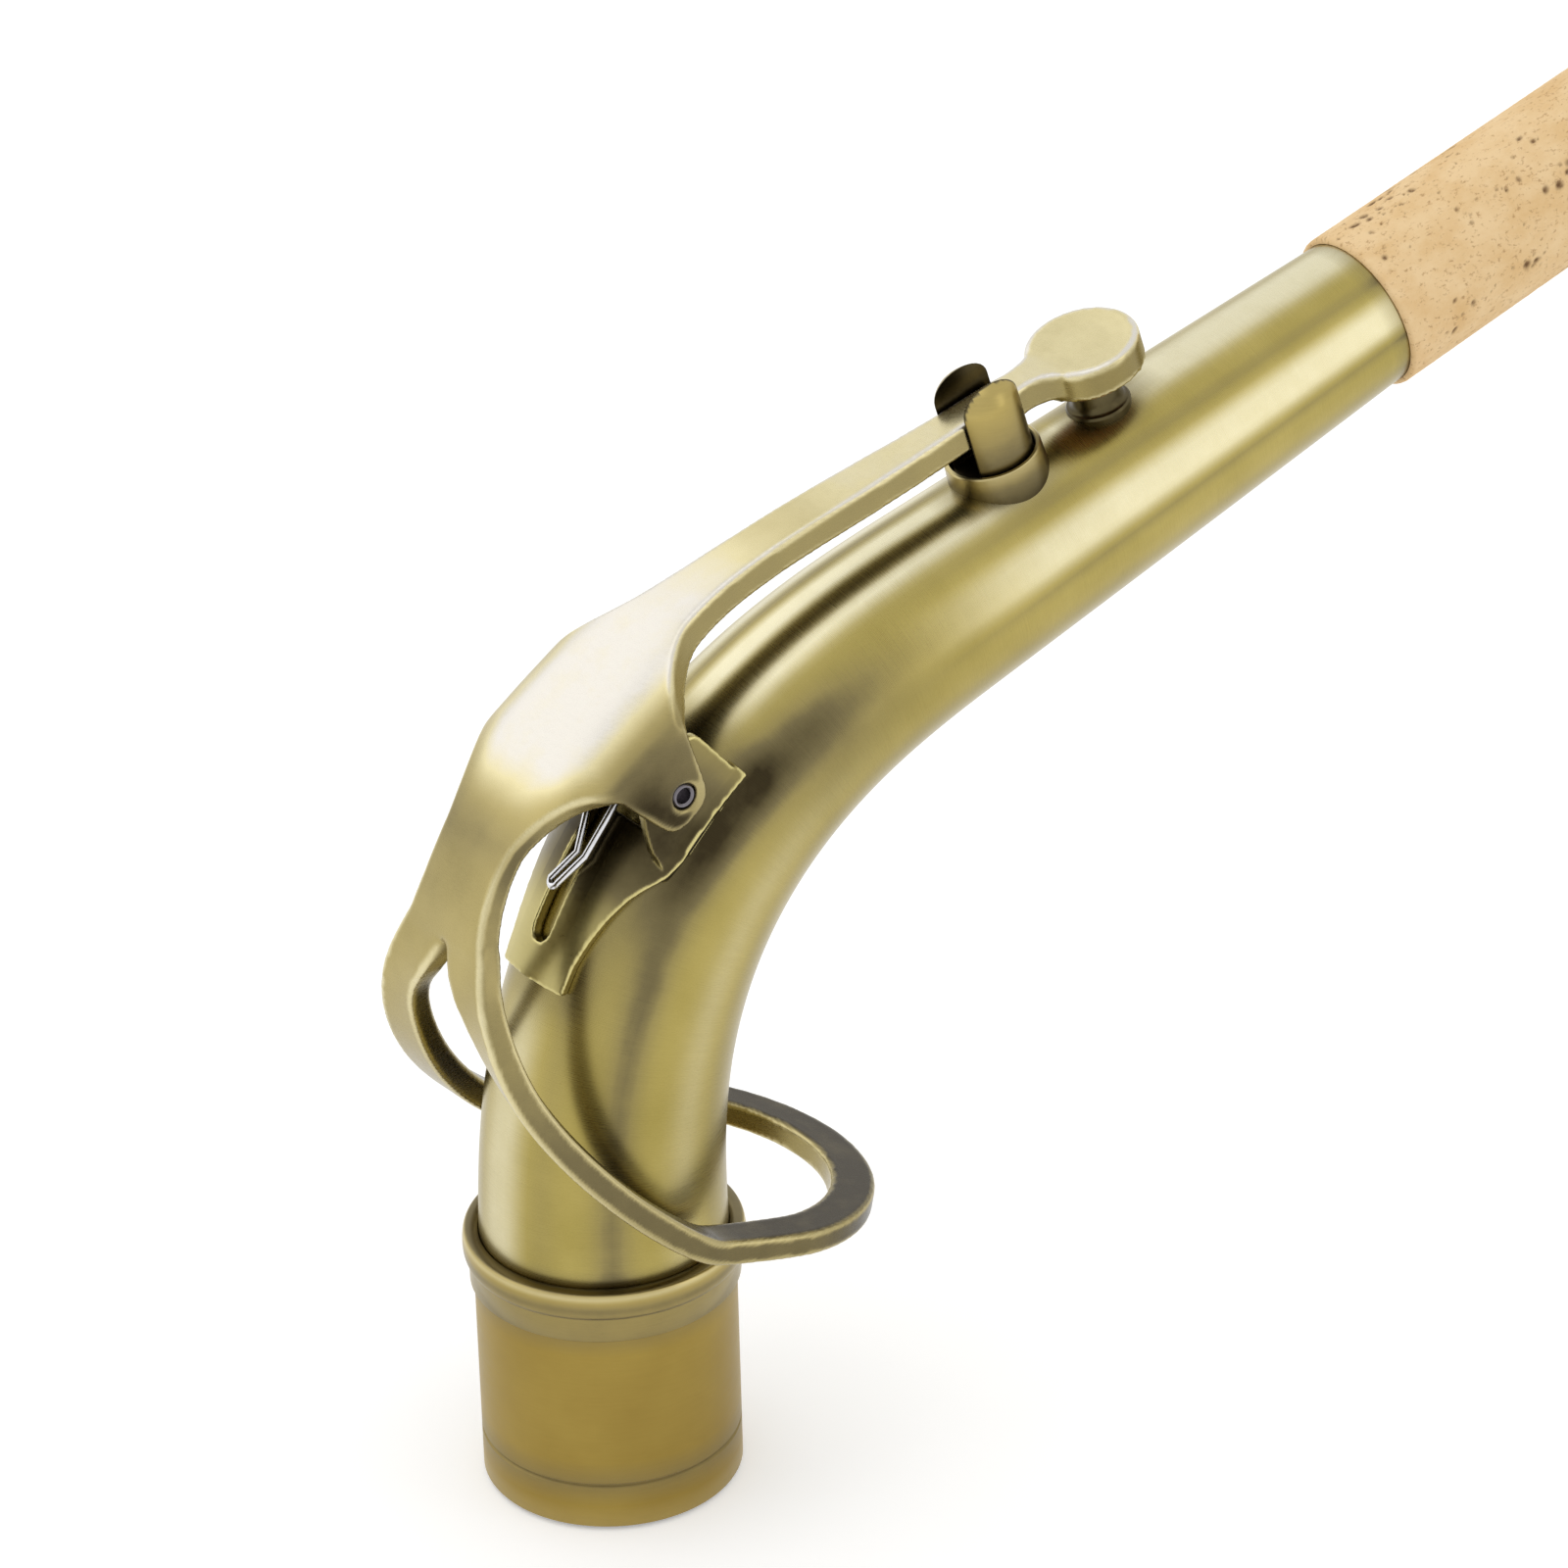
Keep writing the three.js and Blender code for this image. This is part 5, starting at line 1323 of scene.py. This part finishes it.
def make_key():
    recess = cylinder(recess_radius, -pad_top, cup_roof_under, CUP_SIDES, pad_frame)
    key = cut(make_plate(), recess)
    join(key, make_cup(), make_loop(), make_ear(1), make_ear(-1))
    key.name = "key_skin"
    fuse(key, KEY_VOXEL, KEY_PASSES)
    relax(key, FOLD_PASSES, share=near_folds)
    relax(key, CROTCH_PASSES, share=near_crotch)
    return key


def make_pad():
    radius, edge = PAD_RADIUS, PAD_EDGE
    profile = [(0, pad_bottom), (radius - 2 * edge, pad_bottom),
               (radius - edge / 2, pad_bottom + edge / 2), (radius, pad_bottom + 2 * edge),
               (radius, pad_top - edge), (radius - edge, pad_top), (0, pad_top)]
    return turned("pad_skin", profile, FITTING_SIDES, pad_frame)


# Pip and guide
def pip_painted_light(points, *_):
    # Painted shade over the pip but its top, and a painted highlight low on its flare
    height = local_place(points, pad_frame)[1]
    return 0.85 - 0.35 * rise(height, PIP_RISE - 0.4, PIP_RISE), 0.2 * bell(height, 0.35, 0.2)


def make_pip():
    flare, neck, bore = PIP_FLARE_RADIUS, PIP_RADIUS, PIP_BORE_RADIUS
    profile = [(bore, -PIP_SINK), (flare - 0.1, -PIP_SINK), (flare, 0.15), (flare - 0.15, 0.38)]
    profile += curve_through(profile[-1], (neck + 0.05, 0.45), (neck, PIP_FLARE_RISE), 6)
    profile += [(neck, PIP_RISE - 0.2), (neck - 0.15, PIP_RISE - 0.03), (neck - 0.35, PIP_RISE),
                (bore + 0.2, PIP_RISE), (bore, PIP_RISE - 0.2)]
    return turned("pip_skin", profile, CUP_SIDES, pad_frame)


guide_ring_inner = GUIDE_POST_RADIUS + GUIDE_RING_GAP
guide_slot_half = ARM_HALF_WIDTH + GUIDE_SIDE_GAP


def guide_ring_painted_light(points, *_):
    # Painted shade inside the ring, over its wall and at its foot; a painted highlight on its rim
    along, height, across = local_place(points, guide_frame)
    rim = rise(height, GUIDE_RING_RISE - 0.25, GUIDE_RING_RISE - 0.05)
    inside = np.hypot(along, across) < guide_ring_inner + GUIDE_RING_WALL / 3
    return 0.9 * inside * (1 - rim) + 0.46 * (1 - rim) + 0.5 * fall(height, 0, 0.5), 0.5 * rim


def make_guide_ring():
    inner, outer = guide_ring_inner, guide_ring_inner + GUIDE_RING_WALL
    top, lip = GUIDE_RING_RISE, GUIDE_RING_WALL / 4
    profile = [(inner, -SOLDER_SINK), (outer + GUIDE_RING_FOOT, -SOLDER_SINK),
               (outer + lip / 2, top / 3), (outer, top - lip), (outer - lip, top),
               (inner + lip, top), (inner, top - lip)]
    return turned("guide_ring_skin", profile, FITTING_SIDES, guide_frame)


def fork_painted_light(points, *_):
    # Painted shade in the slot, on its floor and towards the foot; a faint painted highlight near
    # the top
    height = local_place(points, guide_frame)[1]
    inside = (np.abs(points[:, 1]) < guide_slot_half + 0.12) | (height < GUIDE_FLOOR + 0.2)
    return 0.92 * inside + 0.12 * fall(height, 2, 6), 0.12 * rise(height, 6, 10.4)


def make_guide_fork():
    radius, shoulder = GUIDE_POST_RADIUS, GUIDE_POST_RISE - GUIDE_DOME
    profile = [(0, -SOLDER_SINK), (radius, -SOLDER_SINK), (radius, shoulder)]
    steps = 10
    for i in range(1, steps):
        turn = pi / 2 * i / steps
        profile.append((radius * cos(turn) ** GUIDE_DOME_POWER,
                        shoulder + GUIDE_DOME * sin(turn)))
    fork = turned("guide_fork_skin", profile + [(0, GUIDE_POST_RISE)], FITTING_SIDES, guide_frame)
    outline = rectangle(GUIDE_SLOT_REACH, GUIDE_FLOOR, GUIDE_POST_RISE + 2)
    cut(fork, slab("cutter", outline, -guide_slot_half, guide_slot_half, guide_frame))
    settle(fork, "BEVEL", width=GUIDE_BEVEL, segments=3, limit_method="ANGLE",
           angle_limit=radians(35))
    return fork


# Spring
def spring_half(side):
    """Wire from the middle of the bridge, over the slot, round the rod and out to its end."""
    over_sheet = SEAT_GAP + SHEET_THICKNESS + WIRE_RADIUS + BRIDGE_CLEARANCE

    def over_slot(back, z, aside):
        station = HINGE_STATION - back
        return point_at(station, radius_at(station) + over_sheet, -z * side - aside)

    path = []
    steps = 4
    for i in range(steps):
        turn = pi / 2 * (i + 0.5) / steps
        path.append(over_slot(BRIDGE_TIP_REACH + BRIDGE_HALF_WIDTH * cos(turn),
                              BRIDGE_HALF_WIDTH * sin(turn), BRIDGE_TIP_ASIDE))
    path.append(over_slot(BRIDGE_BEND_REACH, BRIDGE_HALF_WIDTH, BRIDGE_BEND_ASIDE))
    path.append(over_slot(SPRING_WELL_REACH - WIRE_RADIUS, COIL_START - WIRE_RADIUS, 0))
    radius = ROD_RADIUS + COIL_GAP + WIRE_RADIUS
    start, leave = -pi / 2, COIL_LEAVE_ANGLE
    sweep = leave - start + 2 * pi * CURLS
    climb = COIL_PITCH * sweep / (2 * pi)
    steps = round(sweep / (2 * pi) * COIL_STEPS)
    coil = []
    for i in range(steps + 1):
        turn = start + sweep * i / steps
        coil.append((radius * cos(turn), radius * sin(turn),
                     COIL_START + climb * i / steps))
    coil.append((radius * cos(leave) - SPRING_END_REACH * sin(leave),
                 radius * sin(leave) + SPRING_END_REACH * cos(leave),
                 COIL_START + climb + WIRE_RADIUS))
    return path + [hinge_frame @ Vector((x, y, z * side)) for x, y, z in coil]


def make_spring():
    path = spring_half(1)[::-1] + spring_half(-1)
    rings = []
    across = Vector((0, 1, 0))
    for i, point in enumerate(path):
        tangent = (path[min(i + 1, len(path) - 1)] - path[max(i - 1, 0)]).normalized()
        across = (across - tangent * across.dot(tangent)).normalized()
        other = tangent.cross(across)
        rings.append([point + (across * cos(t) + other * sin(t)) * WIRE_RADIUS
                      for t in circle(WIRE_SIDES)])
    return skin("spring_skin", rings)


# All pieces: how each is made, its node, slot and material, its sharpest smooth angle, and its
# tarnish and painted light
for make, *looks in (
        (make_tube, "neck_tube", "brushed_brass", tube_brass, 40, tube_tarnish_and_painted_light),
        (make_tenon, "tenon_sleeve", "plain_brass", tenon_brass, 40, tenon_tarnish_and_painted_light),
        (make_collar, "stop_collar", "plain_brass", collar_brass, 50, collar_tarnish_and_painted_light),
        (make_cork_sleeve, "mouthpiece_cork", "cork", cork_bark, 60, None),
        (make_tip_ring, "tip_ring", "brushed_brass", key_brass, 40, None),
        (make_saddle, "key_saddle", "brushed_brass", sheet_brass, 60, saddle_tarnish_and_painted_light),
        (make_rod, "pivot_rod", "rod_steel", rod_steel, 30, None),
        (make_key, "octave_key", "brushed_brass", key_brass, 70, key_tarnish_and_painted_light),
        (make_pad, "key_pad", "pad_cork", pad_bark, 50, None),
        (make_pip, "octave_pip", "brushed_brass", sheet_brass, 35, pip_painted_light),
        (make_guide_ring, "guide_base_ring", "brushed_brass", collar_brass, 35, guide_ring_painted_light),
        (make_guide_fork, "guide_fork", "brushed_brass", collar_brass, 50, fork_painted_light),
        (make_spring, "octave_spring", "spring_steel", spring_steel, 60, None)):
    dress(make(), *looks)

# Camera, in the photograph's place
CAMERA_AZIMUTH = radians(-35.0)
CAMERA_ELEVATION = radians(28.23)
CAMERA_ROLL = radians(-1.503)
CAMERA_PLACE = (-0.2776, -0.42744, 0.32413)
CAMERA_LENS = 148.46
CAMERA_SENSOR = 36
a, e, r = CAMERA_AZIMUTH, CAMERA_ELEVATION, CAMERA_ROLL
back = Vector((sin(a) * cos(e), -cos(a) * cos(e), sin(e)))
level = Vector((cos(a), sin(a), 0))
upright = back.cross(level)
right = level * cos(r) + upright * sin(r)
up = upright * cos(r) - level * sin(r)
camera_data = bpy.data.cameras.new("camera")
camera_data.lens = CAMERA_LENS
camera_data.sensor_width = CAMERA_SENSOR
camera_data.clip_start, camera_data.clip_end = 0.01, 50
camera = bpy.data.objects.new("camera", camera_data)
matrix = Matrix((right, up, back)).transposed().to_4x4()
matrix.translation = CAMERA_PLACE
camera.matrix_world = matrix
bpy.context.scene.collection.objects.link(camera)
bpy.context.scene.camera = camera
bpy.context.scene.view_settings.view_transform = "Standard"

# Floor: pale, white to the camera, and a soft grey to the metal above it
FLOOR_DROP = 0.0004
FLOOR_REACH = 6
FLOOR_LIFT = 0.3
floor_mesh = bpy.data.meshes.new("floor")
floor_z = -TENON_LENGTH * MM - FLOOR_DROP
corners = [(x, y, floor_z) for x, y in rectangle(FLOOR_REACH, -FLOOR_REACH, FLOOR_REACH)]
floor_mesh.from_pydata(corners, [], [(0, 1, 2, 3)])
floor = bpy.data.objects.new("floor", floor_mesh)
bpy.context.scene.collection.objects.link(floor)
paint = Paint("floor_pale", (0.9, 0.9, 0.9), 0.9, 0)
paint.coat({"Specular IOR Level": 0.1})
glow = paint.add("Emission", "Emission", {"Color": (FLOOR_LIFT,) * 3,
                                          "Strength": paint.seen_directly()})
both = paint.add("AddShader", "Shader", {0: paint.principled.outputs["BSDF"], 1: glow})
paint.feed(paint.tree.nodes["Material Output"], {"Surface": both})
floor_mesh.materials.append(paint.material)

# Light: a white surround for the camera and the metal, a softer fill, and three soft boxes
FILL_STRENGTH = 0.82
world = bpy.data.worlds.new("studio")
bpy.context.scene.world = world
world.use_nodes = True
sky = Shading(world.node_tree)
sky.tree.nodes.clear()
fill_light, white_light = (sky.add("Background", 0, {"Color": (1, 1, 1), "Strength": strength})
                           for strength in (FILL_STRENGTH, 1))
surround = sky.add("MixShader", 0, {"Fac": sky.seen_directly(), 1: fill_light, 2: white_light})
sky.feed(sky.tree.nodes.new("ShaderNodeOutputWorld"), {"Surface": surround})

LAMP_AIM = Vector((0.04, 0, 0.05))
LAMP_DISTANCE = 1.1
# Rows: name, azimuth and elevation as seen from the object, width, height and radiance
SOFT_BOXES = [
    ("left_box", 128, 36, 1.9, 0.95, 0.36),
    ("right_strip", -58, 18, 0.34, 1.1, 0.6),
    ("top_box", 160, 80, 0.7, 0.5, 0.4),
]
for name, azimuth, elevation, width, height, radiance in SOFT_BOXES:
    a, e = radians(azimuth), radians(elevation)
    away = Vector((cos(a) * cos(e), sin(a) * cos(e), sin(e)))
    data = bpy.data.lights.new(name, "AREA")
    data.shape = "RECTANGLE"
    data.size, data.size_y = width, height
    data.energy = radiance * pi * width * height
    lamp = bpy.data.objects.new(name, data)
    lamp.location = LAMP_AIM + away * LAMP_DISTANCE
    lamp.rotation_mode = "QUATERNION"
    lamp.rotation_quaternion = away.to_track_quat("Z", "Y")
    bpy.context.scene.collection.objects.link(lamp)
